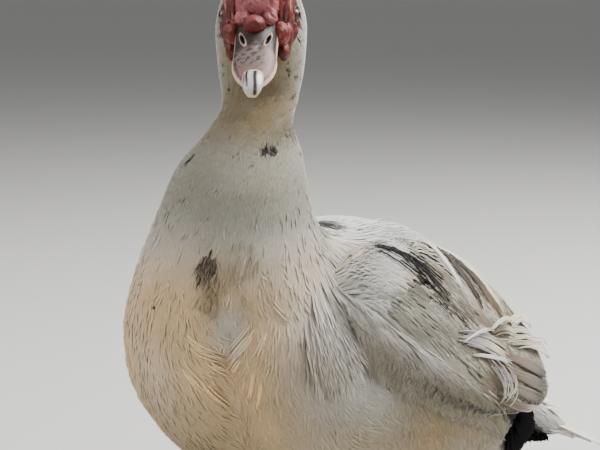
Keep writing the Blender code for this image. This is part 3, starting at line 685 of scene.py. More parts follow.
def face_finish():
    """Bare red skin of the face: smooth bulbs with fine pores and a moist gloss."""
    finish = Finish("bare_face", Specular_IOR_Level=0.3, Subsurface_Weight=0.08, Subsurface_Scale=0.003,
                    Coat_Weight=0.1, Coat_Roughness=0.25)
    finish.shader.inputs["Subsurface Radius"].default_value = (1.0, 0.25, 0.15)
    mottle = finish.noise(240.0, 4.0, 0.6)
    pores = finish.cells(1500.0)
    finish.colour(finish.darken(finish.tint(), 0.78 + 0.44 * mottle))
    finish.rough(0.34 + 0.22 * mottle)
    finish.relief(pores * 0.5 + mottle, 0.6, 0.0006)
    return finish.material


def bill_finish():
    """Leathery horn of the bill."""
    finish = Finish("bill_skin", Specular_IOR_Level=0.35, Subsurface_Weight=0.06, Subsurface_Scale=0.003,
                    Coat_Weight=0.08, Coat_Roughness=0.3)
    grain = finish.noise(420.0, 4.0, 0.55)
    streak = finish.noise(90.0, 3.0)
    finish.colour(finish.darken(finish.tint(), 0.84 + 0.18 * grain + 0.14 * streak))
    finish.rough(0.38 + 0.25 * grain)
    finish.relief(grain + streak, 0.35, 0.0005)
    return finish.material


def nail_finish():
    """Hard polished horn."""
    finish = Finish("hard_horn", Specular_IOR_Level=0.5, Coat_Weight=0.3, Coat_Roughness=0.15)
    grain = finish.noise(300.0, 3.0)
    finish.colour(finish.darken(finish.tint(), 0.88 + 0.2 * grain))
    finish.rough(0.22 + 0.18 * grain)
    finish.relief(grain, 0.2, 0.0003)
    return finish.material


def eye_finish():
    """The wet eyeball."""
    finish = Finish("wet_eye", Roughness=0.24, Specular_IOR_Level=0.35, Coat_Weight=0.15, Coat_Roughness=0.12)
    finish.colour(finish.tint())
    return finish.material


def leg_finish():
    """Scaled skin of the legs and webs."""
    finish = Finish("leg_skin", Specular_IOR_Level=0.45, Subsurface_Weight=0.05, Subsurface_Scale=0.003)
    scales = finish.cells(620.0, "DISTANCE_TO_EDGE")
    grime = finish.noise(120.0, 4.0, 0.6)
    finish.colour(finish.darken(finish.tint(), 0.66 + 0.35 * grime + 1.6 * scales))
    finish.rough(0.42 + 0.25 * grime)
    finish.relief(scales * 3.0 + grime * 0.4, 0.7, 0.0006)
    return finish.material


def floor_finish():
    """Plain pale floor."""
    finish = Finish("pale_floor", Roughness=0.85, Specular_IOR_Level=0.2)
    finish.shader.inputs["Base Color"].default_value = (0.62, 0.61, 0.59, 1.0)
    return finish.material


FINISHES = {}


def finish_of(name):
    """One shared material of each kind, made when first asked for."""
    makers = {
        "coat": coat_finish, "dark": dark_finish, "skin": skin_finish, "vane": vane_finish, "face": face_finish,
        "bill": bill_finish, "nail": nail_finish, "eye": eye_finish, "leg": leg_finish, "floor": floor_finish,
    }
    if name not in FINISHES:
        FINISHES[name] = makers[name]()
    return FINISHES[name]


# ---- The coat

def body_map(place, angle):
    """The unwrap of the body: along its rings and round them, each side of the back line."""
    turn = (angle / math.tau + 0.5) % 1.0
    length = 0.7 * (place - TAIL_START) / (HEAD_END - TAIL_START)
    return side_by_side(0.02 + length, 0.02 + 0.46 * turn)


def wing_map(place, height, sign):
    """The unwrap of a wing, beside the body's."""
    start = 0.52 if sign > 0.0 else 0.76
    turn = (height / math.tau + 0.5) % 1.0
    return side_by_side(0.02 + 0.8 * place / 1.3, start + 0.22 * turn)


def limb_map(place, angle, sign):
    """The unwrap of a thigh, in a corner of its own."""
    start = 0.76 if sign > 0.0 else 0.88
    turn = angle / math.tau % 1.0
    return side_by_side(start + 0.1 * turn, 0.02 + 0.1 * place)


# A blade's rings and tip along its length, the rings' widths, and for its seven points the share of the length,
# the side and the painted shading: painted shade towards the root, a little painted light along the ridge and tip
BLADE_SHARES = np.array((0.0, 0.64, 1.0))
BLADE_WIDTHS = np.array((0.7, 1.0))
BLADE_REACHED = np.array((0.0, 0.0, 0.0, 0.64, 0.64, 0.64, 1.0))
BLADE_SIDES = np.array((-1, 1, 0, -1, 1, 0, 0))
BLADE_PAINTED_SHADING = np.array((0.94, 0.94, 0.95, 0.98, 0.98, 1.0, 1.02))
ROOT_SINK = 0.0012
STEP = 0.02


def blade_faces():
    """Triangles of one blade: two rings of three points, a tip and a closed root."""
    ring = sheet_faces(2, 3, True)
    tip = np.array(((3, 4, 6), (4, 5, 6), (5, 3, 6)))
    root = np.array(((1, 0, 2),))
    return np.concatenate((ring, tip, root))


def coat_piece(name, surface, unwrap, roots, heading, length, width, blades, seed, finish="coat",
               lift=0.0005, tip_lift=0.0012, thick=0.00025, colour=None, spread=0.4,
               wander=0.1, bow=0.0, crown=0.0002):
    """Tufts of narrow blades over a surface of two parameters.

    Each blade runs on the surface from its root along the heading, measured from the way of falling first
    parameter, and rises by a power of its share. Across it the section is a low triangle.
    """
    draw = np.random.default_rng(seed)
    first, second = roots
    count = len(first)
    here = surface(first, second, 0.0)
    slope_first = (surface(first + STEP, second, 0.0) - here) / STEP
    slope_second = (surface(first, second + STEP, 0.0) - here) / STEP
    scale_first = np.maximum(np.linalg.norm(slope_first, axis=-1), 1e-4)
    scale_second = np.maximum(np.linalg.norm(slope_second, axis=-1), 1e-4)
    normal = unit(np.cross(slope_first, slope_second))
    probe = surface(first, second, 0.001) - here
    normal = np.where((normal * probe).sum(-1, keepdims=True) < 0.0, -normal, normal)
    turn = heading(here) + draw.normal(0.0, wander, count)
    reach = length * draw.uniform(0.8, 1.2, count)
    span = width * draw.uniform(0.85, 1.15, count)
    lean = (np.arange(blades) - (blades - 1) / 2.0) / max(1.0, (blades - 1) / 2.0)
    lean = lean[None, :] + draw.normal(0.0, 0.08, (count, blades))
    blade_turn = turn[:, None] + lean * spread * draw.uniform(0.5, 1.0, (count, 1)) * 0.5
    blade_reach = reach[:, None] * (1.0 - 0.16 * lean * lean) * draw.uniform(0.88, 1.08, (count, blades))
    side_first = np.sin(turn)[:, None] * lean * (span * 0.3)[:, None] / scale_first[:, None]
    side_second = np.cos(turn)[:, None] * lean * (span * 0.3)[:, None] / scale_second[:, None]
    share = BLADE_SHARES[None, None, :]
    curl = 1.0 + draw.normal(0.0, 0.1, (count, blades, 1)) * (share - 0.5)
    run_first = np.cos(blade_turn) * blade_reach / scale_first[:, None]
    run_second = np.sin(blade_turn) * blade_reach / scale_second[:, None]
    path_first = (first[:, None] + side_first)[..., None] - run_first[..., None] * share
    path_second = (second[:, None] + side_second)[..., None] + run_second[..., None] * share * curl
    sway = draw.normal(0.0, bow, (count, blades)) * blade_reach * 4.0
    path_second = path_second + (sway / scale_second[:, None])[..., None] * share * (1.0 - share)
    rise = draw.uniform(0.7, 1.2, (count, blades))[..., None]
    lift = np.asarray(lift, dtype=float).reshape(-1, 1, 1)
    height = -ROOT_SINK + (lift + ROOT_SINK) * np.minimum(1.0, share * 3.0) + tip_lift * rise * share ** 1.5
    height = height + crown * (1.0 - np.abs(lean))[..., None] * np.sin(math.pi * share)
    height = height - parting(surface(path_first, path_second, 0.0)) * FURROW_DEPTH
    line = surface(path_first, path_second, height)
    way = unit(line[..., -1, :] - line[..., 0, :])
    up = normal[:, None, :]
    side = unit(np.cross(np.broadcast_to(up, way.shape), way))
    half = (span / blades * 0.8)[:, None, None, None] * BLADE_WIDTHS[None, None, :, None]
    body = line[..., :2, :]
    left = body - side[..., None, :] * half
    right = body + side[..., None, :] * half
    ridge = body + up[..., None, :] * thick * np.array((0.8, 1.0))[None, None, :, None]
    rings = np.stack((left, right, ridge), axis=3).reshape(count, blades, 6, 3)
    points = np.concatenate((rings, line[..., 2:3, :]), axis=2).reshape(-1, 3)
    tilt = 0.35 * BLADE_SIDES[None, None, :, None]
    normals = unit(normal[:, None, None, :] + side[:, :, None, :] * tilt).reshape(-1, 3)
    one = outward(points[:7], blade_faces())[1]
    faces = (one[None] + (np.arange(count * blades) * 7)[:, None, None]).reshape(-1, 3)
    shown = 0.35 * line[..., 1, :] + 0.65 * line[..., 2, :]
    base = plumage(shown) if colour is None else colour(first, second, shown, draw)
    shade = draw.normal(1.0, 0.03, (count, 1, 1)) * draw.normal(1.0, 0.028, (count, blades, 1))
    # Random tone of each tuft and blade, times painted shade towards each root and painted light along the ridge
    tint = base[:, :, None, :] * (shade * BLADE_PAINTED_SHADING[None, None, :])[..., None]
    patch = unwrap(first, second)[:, None, None, :]
    offset = np.zeros((1, blades, 7, 2))
    offset[0, :, :, 0] = ((np.arange(blades) / blades - 0.5) * 0.0026)[:, None] + (0.5 + 0.5 * BLADE_SIDES) * 0.0004
    offset[0, :, :, 1] = BLADE_REACHED * 0.0028 - 0.0014
    patch = (patch + offset).reshape(-1, 2)
    lay = np.empty((count, blades, 7, 2))
    lay[..., 0] = draw.uniform(0.0, 2.0, (count, blades, 1)) + half[:, :, 1, 0][..., None] * BLADE_SIDES
    lay[..., 1] = blade_reach[..., None] * BLADE_REACHED
    return make_piece(name, points, faces, finish_of(finish), (), tint.reshape(-1, 3), patch,
                      lay.reshape(-1, 2), normals)


FURROW_X = 0.0466
FURROW_DEPTH = 0.0035


def parting(points):
    """A shallow furrow down the middle of the breast, nought elsewhere."""
    x, y, z = axes(points)
    middle = np.exp(-((x - FURROW_X) / 0.01) ** 2) * ease(y, -0.18, -0.22)
    return middle * ease(z, 0.245, 0.215) * ease(z, 0.15, 0.185)


def body_heading(points):
    """How far the coat turns from the body's length: it draws in to the furrow and waves a little everywhere."""
    x, y, z = axes(points)
    off = x - FURROW_X
    draw_in = np.tanh(off / 0.008) * np.exp(-(off / 0.055) ** 2)
    draw_in = draw_in * ease(z, 0.262, 0.23) * ease(z, 0.125, 0.165)
    droop = np.sign(x) * ease(y, -0.19, -0.13) * ease(y, 0.08, 0.02) * ease(z, 0.225, 0.19)
    wave = 0.16 * ripple(points, 0.055, 41) + 0.1 * ripple(points, 0.021, 42)
    return 0.62 * draw_in * ease(y, -0.16, -0.21) + 0.8 * droop + wave


def calm_heading(points):
    """A coat that lies almost straight."""
    return 0.07 * ripple(points, 0.04, 43)


def scatter(surface, first_range, second_range, count, seed, density=None):
    """Random roots spread over a surface by its area and, where given, by a density of their own."""
    draw = np.random.default_rng(seed)
    first = draw.uniform(*first_range, count * 14)
    second = draw.uniform(*second_range, count * 14)
    here = surface(first, second, 0.0)
    one = surface(first + STEP, second, 0.0) - here
    two = surface(first, second + STEP, 0.0) - here
    area = np.linalg.norm(np.cross(one, two), axis=-1)
    if density is not None:
        area = area * density(first, second, here)
    order = draw.random(len(area)) < area / np.quantile(area[area > 0.0], 0.98)
    return first[order][:count], second[order][:count]


# The edge of the bare face on the straight head, seen from the side: height and how far back
BARE_EDGE = np.array((
    (0.399, -0.044), (0.404, -0.0375), (0.41, -0.0285), (0.418, -0.018), (0.424, -0.0125),
    (0.431, -0.01), (0.44, -0.0108), (0.447, -0.0135), (0.455, -0.017), (0.462, -0.021)))


def bare_face(points):
    """How far a place on the head lies inside the bare face, metres: above zero is bare, the chin is not."""
    straight = straight_head(points)
    edge = np.interp(straight[..., 2], BARE_EDGE[:, 0], BARE_EDGE[:, 1]) + 0.0009 * ripple(straight, 0.011, 86)
    chin = ease(np.abs(straight[..., 0]), 0.0125, 0.0085) * ease(straight[..., 2], 0.419, 0.414)
    return edge - straight[..., 1] - 0.05 * chin


# ---- Skin

# The skin is painted in the coat's colours but darker: painted shade under the feathers
SKIN_SHADE = 0.92


def build_skin():
    """The whole bare body: one loft from the tail to the bill's root, its thighs let in, under the coat's depth."""
    place = np.concatenate((np.linspace(TAIL_START, 12.0, 110), np.linspace(12.1, HEAD_END, 60)))[:, None]
    angle = np.linspace(-math.pi, math.pi, 97)[None, :-1]
    depth = -0.001 + 0.0002 * ease(place, 8.0, 14.0)
    under = body_surface(place, angle, 0.0)
    parts = [closed_tube(body_surface(place, angle, depth - 0.004 * parting(under)))]

    def with_corner(spots, corner):
        return np.concatenate((spots.reshape(-1, 2), np.full((2, 2), corner)))

    maps = [with_corner(body_map(*np.broadcast_arrays(place, angle)), 0.02)]
    for _, sign in SIDES:
        step = np.linspace(0.0, 4.0, 30)[:, None]
        turn = around(40)[None, :]
        parts.append(closed_tube(limb_surface(KNEE_ROWS, step, turn, -0.002, sign)))
        maps.append(with_corner(limb_map(*np.broadcast_arrays(step, turn), sign), 0.9))
    for _, sign in SIDES:
        step = np.linspace(0.02, 0.99, 60)[:, None]
        turn = np.linspace(-math.pi, math.pi, 41)[None, :-1]
        parts.append(closed_tube(wing_surface(step, turn, -0.003, sign)))
        maps.append(with_corner(wing_map(*np.broadcast_arrays(step, turn), sign), 0.6))
    points, faces = joined(parts)
    tint = plumage(points) * SKIN_SHADE
    return make_piece(
        "feathered_skin", points, faces, finish_of("skin"),
        ("torso", "neck", "head", "thigh_left", "thigh_right", "tail", "wing_left", "wing_right"),
        tint, np.concatenate(maps))


# ---- Coat regions

def build_coat(length_scale):
    """Tufts over head, neck, breast, back, flanks, belly, thighs and shoulders, longest on the flanks."""
    round_angle = (-math.pi, math.pi)
    breast = (0.4 * math.pi, 1.6 * math.pi)
    back = (-0.42 * math.pi, 0.42 * math.pi)
    rear = (-0.5 * math.pi, 0.5 * math.pi)
    belly = (0.62 * math.pi, 1.38 * math.pi)
    left_flank = (0.28 * math.pi, 0.7 * math.pi)
    right_flank = (-0.7 * math.pi, -0.28 * math.pi)

    def region(name, count, places, angles, lengths, width, seed, blades=5, density=None, tip=0.0012,
               lift=0.0005, spread=0.4, heading=body_heading, wander=0.1, bow=0.0, colour=None):
        roots = scatter(body_surface, places, angles, count, seed, density)
        length = np.interp(roots[0], (places[0], places[1]), lengths) * length_scale
        coat_piece(name, body_surface, body_map, roots, heading, length, width, blades, seed,
                   tip_lift=tip, lift=lift, spread=spread, wander=wander, bow=bow, colour=colour)

    def feathered(place, angle, here):
        return (1.0 + 0.6 * ease(place, 14.0, 18.0)) * (bare_face(here) < -0.0004)

    region("coat_head", 3600, (13.2, 20.6), round_angle, (0.0105, 0.0055), 0.004, 11, density=feathered,
           tip=0.0005, lift=0.0003, heading=calm_heading)
    region("coat_neck", 3500, (9.4, 13.6), round_angle, (0.019, 0.0115), 0.0056, 12, tip=0.0001, lift=0.0003,
           heading=calm_heading, spread=0.3, wander=0.06)
    region("coat_breast_upper", 3200, (6.9, 9.8), breast, (0.027, 0.021), 0.0066, 13,
           tip=0.0001, lift=0.0002, spread=0.28, wander=0.08, bow=0.03)
    region("coat_breast_lower", 2900, (4.2, 7.3), breast, (0.03, 0.028), 0.0074, 19,
           tip=0.0002, lift=0.0002, spread=0.28, wander=0.09, bow=0.03)
    region("coat_mantle", 2000, (2.6, 9.8), back, (0.028, 0.02), 0.009, 14,
           tip=0.0002, lift=0.0003, spread=0.3, wander=0.07)
    region("coat_rump", 1100, (-3.0, 3.0), rear, (0.024, 0.026), 0.009, 15, tip=0.0008)
    region("coat_belly", 1000, (-3.0, 5.0), belly, (0.026, 0.032), 0.011, 16)
    region("coat_flank_left", 2300, (-2.0, 5.2), left_flank, (0.028, 0.038), 0.0068, 17,
           tip=0.0004, lift=0.0003, spread=0.26, wander=0.12, bow=0.05)
    region("coat_flank_right", 1200, (-2.0, 5.2), right_flank, (0.028, 0.038), 0.0098, 18,
           tip=0.0008, spread=0.32, wander=0.12, bow=0.05)
    region("coat_wisps", 2800, (3.0, 10.4), (0.3 * math.pi, 1.65 * math.pi), (0.028, 0.015), 0.001, 23,
           blades=1, tip=0.0004, lift=0.0007, wander=0.2, bow=0.08, colour=wisp_tint)
    build_bridge(length_scale)
    build_flap(length_scale)
    build_marks(length_scale)
    build_rump(length_scale)
    build_locks()
    build_limb_coat(length_scale)


def build_limb_coat(length_scale):
    """Tufts over the thighs and shoulders, and the narrow feathers over the rest of each wing."""
    for side, sign in SIDES:
        def thigh(place, angle, lift):
            return limb_surface(KNEE_ROWS, 4.0 - place, angle, lift, sign)

        def shoulder(place, height, lift):
            return wing_surface(-place, height, lift, sign)

        def shoulder_map(place, height):
            return wing_map(-place, height, sign)

        roots = scatter(thigh, (0.35, 4.0), (0.0, math.tau), 420, 21)
        length = np.interp(roots[0], (0.35, 1.5, 4.0), (0.007, 0.013, 0.024)) * length_scale
        coat_piece("coat_thigh_" + side, thigh, lambda place, angle: limb_map(4.0 - place, angle, sign), roots,
                   calm_heading, length, 0.0075, 5, 22)

        def over_wing(place, height, here):
            return (-place < cover_edge(height) - 0.095 + 0.02 * ripple(here, 0.016, 49)).astype(float)

        many = 1.0 if sign > 0.0 else 0.6
        heights = (math.radians(-100.0), math.radians(112.0))
        roots = scatter(shoulder, (-0.4, -0.022), heights, int(1700 * many), 31, over_wing)
        near_edge = ease(-roots[0] - cover_edge(roots[1]), -0.17, -0.1)
        lower = -0.7 * ease(np.degrees(roots[1]), 18.0, -22.0)
        coat_piece(
            "coat_shoulder_" + side, shoulder, shoulder_map, roots, lambda points: lower + shoulder_heading(points),
            (0.024 + 0.012 * near_edge) * length_scale, 0.007, 5, 32,
            lift=0.0008 + 0.0046 * ease(-roots[0], -0.01, 0.11), tip_lift=0.0003,
            wander=0.09, bow=0.04, spread=0.26, colour=cover_tint)

        def uncovered(place, height, here):
            return (-place > cover_edge(height) - 0.08).astype(float)

        heights = (math.radians(-90.0), math.radians(104.0))
        roots = scatter(shoulder, (-0.66, -0.04), heights, int(1250 * many), 33, uncovered)
        level = np.degrees(roots[1])
        fall = -0.08 - 0.42 * ease(level, 68.0, 46.0) + 0.25 * ease(level, -20.0, -60.0)
        coat_piece(
            "wing_streaks_" + side, shoulder, shoulder_map, roots, lambda points: fall + streak_heading(points),
            0.046 * length_scale, 0.005, 4, 34, lift=0.006, tip_lift=0.0006, wander=0.045,
            colour=streak_tint(sign), spread=0.1, bow=0.02)


def cover_tint(place, height, shown, draw):
    """The shoulder's white coat, in the flank's shade along its lower part."""
    level = np.degrees(height)[:, None] + 0.0 * shown[..., 0]
    low = ease(level, 8.0, -26.0) * ease(-place[:, None], 0.03, 0.14)
    return blend(plumage(shown), SHADE * 1.05, 0.8 * low)


def wisp_tint(place, angle, shown, draw):
    """Stray strands a little paler or deeper than the coat they lie on."""
    return plumage(shown) * draw.choice((0.92, 1.04, 1.08, 1.14), (len(place), 1, 1))


# The line where the left wing's front sinks into the body: place and angle in degrees
BRIDGE = (
    (5.4, 25), (5.92, 25), (6.36, 26), (6.86, 28), (7.39, 34), (7.86, 44), (8.15, 56),
    (8.15, 66), (8.1, 78), (7.9, 90), (7.5, 98),
)


def build_bridge(length_scale):
    """Long soft feathers rooted on the body along the front of each wing and lying over its edge."""
    draw = np.random.default_rng(30)
    path = np.array(BRIDGE)
    for side, sign in SIDES:
        many = 760 if sign > 0.0 else 300
        share = draw.uniform(0.0, len(path) - 1.0, many)
        place = np.interp(share, np.arange(len(path)), path[:, 0]) + draw.uniform(-0.12, 0.5, many)
        angle = np.interp(share, np.arange(len(path)), path[:, 1]) + draw.normal(0.0, 4.0, many)
        turn = sign * np.interp(share, np.arange(len(path)), np.linspace(0.1, 0.55, len(path)))
        coat_piece("coat_bridge_" + side, body_surface, body_map, (place, np.radians(angle) * sign),
                   lambda points: turn + 0.1 * ripple(points, 0.03, 47), 0.034 * length_scale, 0.0066, 5, 35,
                   lift=0.001, tip_lift=0.0044 if sign > 0.0 else 0.0016, wander=0.06, spread=0.22, bow=0.03)


# The flank's feathers over the lower wing: length and height of each row's top and low end, from front to back
FLAP = (
    (0.03, 24, 7.15, 90), (0.058, 8, 6.55, 94), (0.092, -8, 5.9, 99), (0.128, -24, 5.2, 104),
    (0.168, -38, 4.62, 108), (0.214, -48, 4.04, 111), (0.266, -57, 3.37, 114.5), (0.322, -67, 2.7, 117),
    (0.371, -74, 2.1, 120),
)
SIDE_STEP = 0.0015
SIDE_START = np.array((-0.215, 0.05))
SIDE_CELLS = np.array((210, 160))


def side_reach():
    """How far out the left side stands at each length and height: the outermost of wing and body over a grid.

    A hollow is filled by the larger of the grid and its running mean.
    """
    place = np.linspace(-3.5, 10.5, 800)[:, None]
    angle = np.linspace(0.02, math.pi - 0.02, 600)[None, :]
    step = np.linspace(0.0, 1.0, 700)[:, None]
    turn = np.linspace(-math.pi, math.pi, 420)[None, :]
    body = body_surface(place, angle, 0.0016).reshape(-1, 3)
    wing = wing_surface(step, turn, 0.006, 1.0).reshape(-1, 3)
    points = np.concatenate((body, wing))
    index = np.floor((points[:, 1:] - SIDE_START) / SIDE_STEP).astype(int)
    inside = ((index >= 0) & (index < SIDE_CELLS)).all(axis=1)
    reach = np.zeros(SIDE_CELLS)
    np.maximum.at(reach, (index[inside, 0], index[inside, 1]), points[inside, 0])
    filled = reach
    for width in (5, 5, 4):
        for axis in (0, 1):
            filled = sum(np.roll(filled, shift, axis) for shift in range(-width, width + 1)) / (2.0 * width + 1.0)
    filled = np.maximum(reach, filled)
    for axis in (0, 1):
        filled = (np.roll(filled, 1, axis) + filled + np.roll(filled, -1, axis)) / 3.0
    return filled


def build_flap(length_scale):
    """Feathers on a sheet that hangs from the wing's lower half over the crease to the flank."""
    rows = np.array(FLAP)
    reach = side_reach()
    ends = np.concatenate((wing_surface(rows[:, 0], np.radians(rows[:, 1]), 0.006, 1.0)[:, 1:],
                           body_surface(rows[:, 2], np.radians(rows[:, 3]), 0.0)[:, 1:]), axis=-1)

    def out_at(spot):
        cell = np.clip((spot - SIDE_START) / SIDE_STEP - 0.5, 0.0, SIDE_CELLS - 2.001)
        index = cell.astype(int)
        part = cell - index
        a = index[..., 0]
        b = index[..., 1]
        right, up = part[..., 0], part[..., 1]
        here = reach[a, b] * (1.0 - right) + reach[a + 1, b] * right
        above = reach[a, b + 1] * (1.0 - right) + reach[a + 1, b + 1] * right
        return here * (1.0 - up) + above * up

    for side, sign in SIDES:
        def sheet(first, second, lift):
            first, second, lift = matched(first, second, lift)
            row = along_rows(ends, second)
            spot = row[..., :2] - first[..., None] * (row[..., 2:] - row[..., :2])
            back = np.array((2.0 * SIDE_STEP, 0.0))
            rise = back[::-1]
            slope_y = (out_at(spot + back) - out_at(spot - back)) / (4.0 * SIDE_STEP)
            slope_z = (out_at(spot + rise) - out_at(spot - rise)) / (4.0 * SIDE_STEP)
            normal = unit(side_by_side(np.ones(slope_y.shape), -slope_y, -slope_z))
            points = np.concatenate((out_at(spot)[..., None], spot), axis=-1) + normal * lift[..., None]
            return points * np.array((sign, 1.0, 1.0))

        def sheet_map(first, second):
            return body_map(7.2 - 0.6 * second, (1.5 - 0.6 * first) * sign)

        def flap_tint(first, second, shown, draw):
            share = ease(-first[:, None] + 0.0 * shown[..., 0], 0.05, 0.4) * 0.45 + 0.35
            grain = draw.choice((0.7, 0.86, 0.98, 1.08, 1.22), (len(first), 1, 1))
            return blend(plumage(shown), SHADE * 0.92, share) * grain

        roots = scatter(sheet, (-0.72, 0.12), (0.02, 7.98), 860 if sign > 0.0 else 360, 36,
                        lambda first, second, here: ease(-first, -0.12, 0.02))
        coat_piece("coat_flap_" + side, sheet, sheet_map, roots, lambda points: 0.2 * ripple(points, 0.03, 48),
                   0.028 * length_scale, 0.0046, 5, 37, lift=0.0004, tip_lift=0.0012,
                   wander=0.17, spread=0.3, bow=0.08, colour=flap_tint)


def build_marks(length_scale):
    """Small black and brown tufts set on the coat, each group scattered round its own place."""
    draw = np.random.default_rng(24)
    table = np.array(DARK_TUFTS)
    table = np.repeat(table, table[:, 3].astype(int), axis=0)
    count = len(table)
    place = table[:, 0]
    angle = np.radians(table[:, 1])
    here = body_surface(place, angle, 0.0)
    along = np.linalg.norm(body_surface(place + STEP, angle, 0.0) - here, axis=-1) / STEP
    across = np.linalg.norm(body_surface(place, angle + STEP, 0.0) - here, axis=-1) / STEP
    spread, length, turn = table[:, 2], table[:, 4], table[:, 6]
    place = place + (draw.normal(0.0, 1.0, count) * spread + 0.5 * length * np.cos(turn)) / along
    angle = angle + (draw.normal(0.0, 1.0, count) * spread - 0.5 * length * np.sin(turn)) / across

    def dark_tint(first, second, shown, source):
        share = (table[:, 5] * source.uniform(0.7, 1.2, count))[:, None] * np.ones(shown.shape[:2])
        strong = np.where(table[:, 5] > 0.5, 0.42, 0.9) * source.uniform(0.6, 1.1, count)
        return blend(plumage(shown), blend(hue("black"), STAIN, share), strong[:, None])

    coat_piece("coat_marks", body_surface, body_map, (place, angle), lambda points: turn, length * length_scale,
               np.interp(length, (0.0024, 0.0125, 0.019), (0.0006, 0.0009, 0.0022)), 1, 25,
               lift=np.where(length > 0.011, 0.0014, 0.0008), tip_lift=0.0004, wander=0.16, colour=dark_tint, bow=0.06)


def build_rump(length_scale):
    """Long black feathers over both sides of the rump, drooping and standing a little off."""
    def kept(place, angle, here):
        x, y, z = axes(here)
        return ((y + 1.29 * z > 0.16) & (z + 0.59 * y < 0.15) & (y < 0.176) & (np.abs(x) > 0.012)).astype(float)

    def black_tint(first, second, shown, source):
        return hue("black") * source.uniform(0.3, 0.8, shown.shape[:2])[..., None]

    for side, sign in SIDES:
        angles = (0.44 * math.pi, 0.92 * math.pi) if sign > 0.0 else (-0.92 * math.pi, -0.44 * math.pi)
        places = (-2.9, 2.6) if sign > 0.0 else (-2.9, -0.4)
        roots = scatter(body_surface, places, angles, 420 if sign > 0.0 else 200, 26, kept)
        coat_piece("coat_black_rump_" + side, body_surface, body_map, roots, lambda points: 0.6 * sign,
                   0.032 * length_scale, 0.009, 5, 27, finish="dark", lift=0.0016, tip_lift=0.0055,
                   wander=0.12, colour=black_tint, bow=0.04)


# Locks on the breast: place and angle in degrees at root, middle and tip, how many, how far apart, half width,
# paleness; the locks below 1, each laid just under a pale one, are painted shadow
LOCKS = (
    (8.5, 170, 8.36, 160, 8.15, 148, 7, 0.1, 0.001, 1.14),
    (8.44, 164, 8.28, 156, 8.1, 148.5, 4, 0.06, 0.0008, 0.7),
    (8.5, 128, 8.36, 135, 8.13, 146, 7, 0.1, 0.001, 1.14),
    (8.42, 132, 8.28, 139, 8.1, 146.5, 4, 0.06, 0.0008, 0.72),
    (8.14, 139, 8.06, 143, 7.93, 147.5, 4, 0.05, 0.0009, 1.12),
    (8.16, 158, 8.05, 154, 7.92, 148.5, 4, 0.05, 0.0009, 1.1),
    (8.2, 172, 7.98, 166, 7.8, 160, 5, 0.1, 0.0009, 1.1),
    (8.34, 122, 8.2, 126, 8.06, 131, 4, 0.06, 0.0009, 1.12),
    (7.9, 162, 7.66, 158, 7.46, 153, 5, 0.1, 0.0009, 1.08),
    (7.9, 134, 7.66, 138, 7.46, 143, 5, 0.1, 0.0009, 1.08),
    (8.72, 116, 8.52, 112, 8.34, 109, 4, 0.1, 0.0008, 1.1),
)


def arc_shares(share):
    """How much each of three places counts along the curve that starts at the first and ends at the last."""
    return (1.0 - share) ** 2, 2.0 * share * (1.0 - share), share ** 2


def laid(surface, first, second, lift, *side):
    """Points at a lift over a surface, and the way straight off it from each."""
    points = surface(first, second, lift, *side)
    return points, unit(surface(first, second, lift + 0.001, *side) - points)


def build_locks():
    """Curved strands in small locks that meet in the breast's parting, the darker locks under the pale ones painting
    their shadow.
    """
    draw = np.random.default_rng(28)
    table = np.array(LOCKS)
    table = np.repeat(table, table[:, 6].astype(int), axis=0)
    count = len(table)
    apart = draw.uniform(-1.0, 1.0, (count, 1)) * table[:, 7:8]
    share = VANE_SHARES[None, :]
    a, b, c = arc_shares(share)
    place = table[:, 0:1] * a + table[:, 2:3] * b + table[:, 4:5] * c
    place = place + apart + draw.normal(0.0, 0.012, (count, 1)) * share
    angle = table[:, 1:2] * a + table[:, 3:4] * b + table[:, 5:6] * c + draw.normal(0.0, 1.2, (count, 1))
    angle = angle + draw.normal(0.0, 0.8, (count, 1)) * b
    lift = -0.001 + 0.0022 * np.minimum(1.0, share * 3.0) + draw.uniform(-0.0003, 0.0005, (count, 1)) * share
    under = body_surface(place, np.radians(angle), 0.0)
    lift = lift - 0.003 * parting(under)
    line, normal = laid(body_surface, place, np.radians(angle), lift)
    half = table[:, 8] * draw.uniform(0.5, 0.95, count)
    grid, lay, both = vane_mesh(line, normal, half, np.full(count, 0.95), 0.25, 29, 0.0002)
    shown = np.repeat(line[:, :, None], both.shape[2], axis=2)
    # Paleness scales each lock's tint; the locks below 1 are painted shadow beneath the pale ones
    tint = plumage(shown) * ((0.5 + 0.5 * table[:, 9]) * draw.normal(1.0, 0.04, count))[:, None, None, None]
    return vane_piece("coat_locks", grid, lay, tint, body_map(table[:, 0], np.radians(table[:, 1])))


def cover_edge(height):
    """How far along the wing the white coat of shoulder and flank reaches at each height round it."""
    levels = (-100.0, -83.0, -62.0, -42.0, -33.0, -26.0, -19.0, -12.0, -8.0, -3.0, 24.0, 54.0, 82.0, 112.0)
    shares = (0.43, 0.415, 0.385, 0.365, 0.335, 0.31, 0.265, 0.23, 0.2, 0.175, 0.19, 0.225, 0.3, 0.33)
    return np.interp(np.degrees(height), levels, shares)


def shoulder_heading(points):
    """The shoulder's coat sweeps back along the wing, its lower part a little downward."""
    return 0.18 * ripple(points, 0.045, 44) + 0.12 * ripple(points, 0.018, 45)


def streak_heading(points):
    """The wing's narrow feathers follow it closely."""
    return 0.06 * ripple(points, 0.05, 46)


# Streaks over the wing's coverts: places along the wing, and the streak's height at each
PALE_STREAK = ((0.28, 0.33, 0.38, 0.5), (66.0, 48.0, 24.0, 10.0))
DEEP_STREAK = ((0.36, 0.44, 0.56), (52.0, 34.0, 16.0))
BLACK_STREAK = ((0.17, 0.19, 0.21, 0.23, 0.27, 0.295, 0.34), (62.0, 54.0, 42.0, 30.0, 20.0, 11.0, 2.0))
STREAK_HALF = 9.0


def streak_share(along, level, streak):
    """How near a point lies to a streak: 1 on its middle line and falling off as a bell curve of the height."""
    return np.exp(-((level - np.interp(along, *streak)) / STREAK_HALF) ** 2)


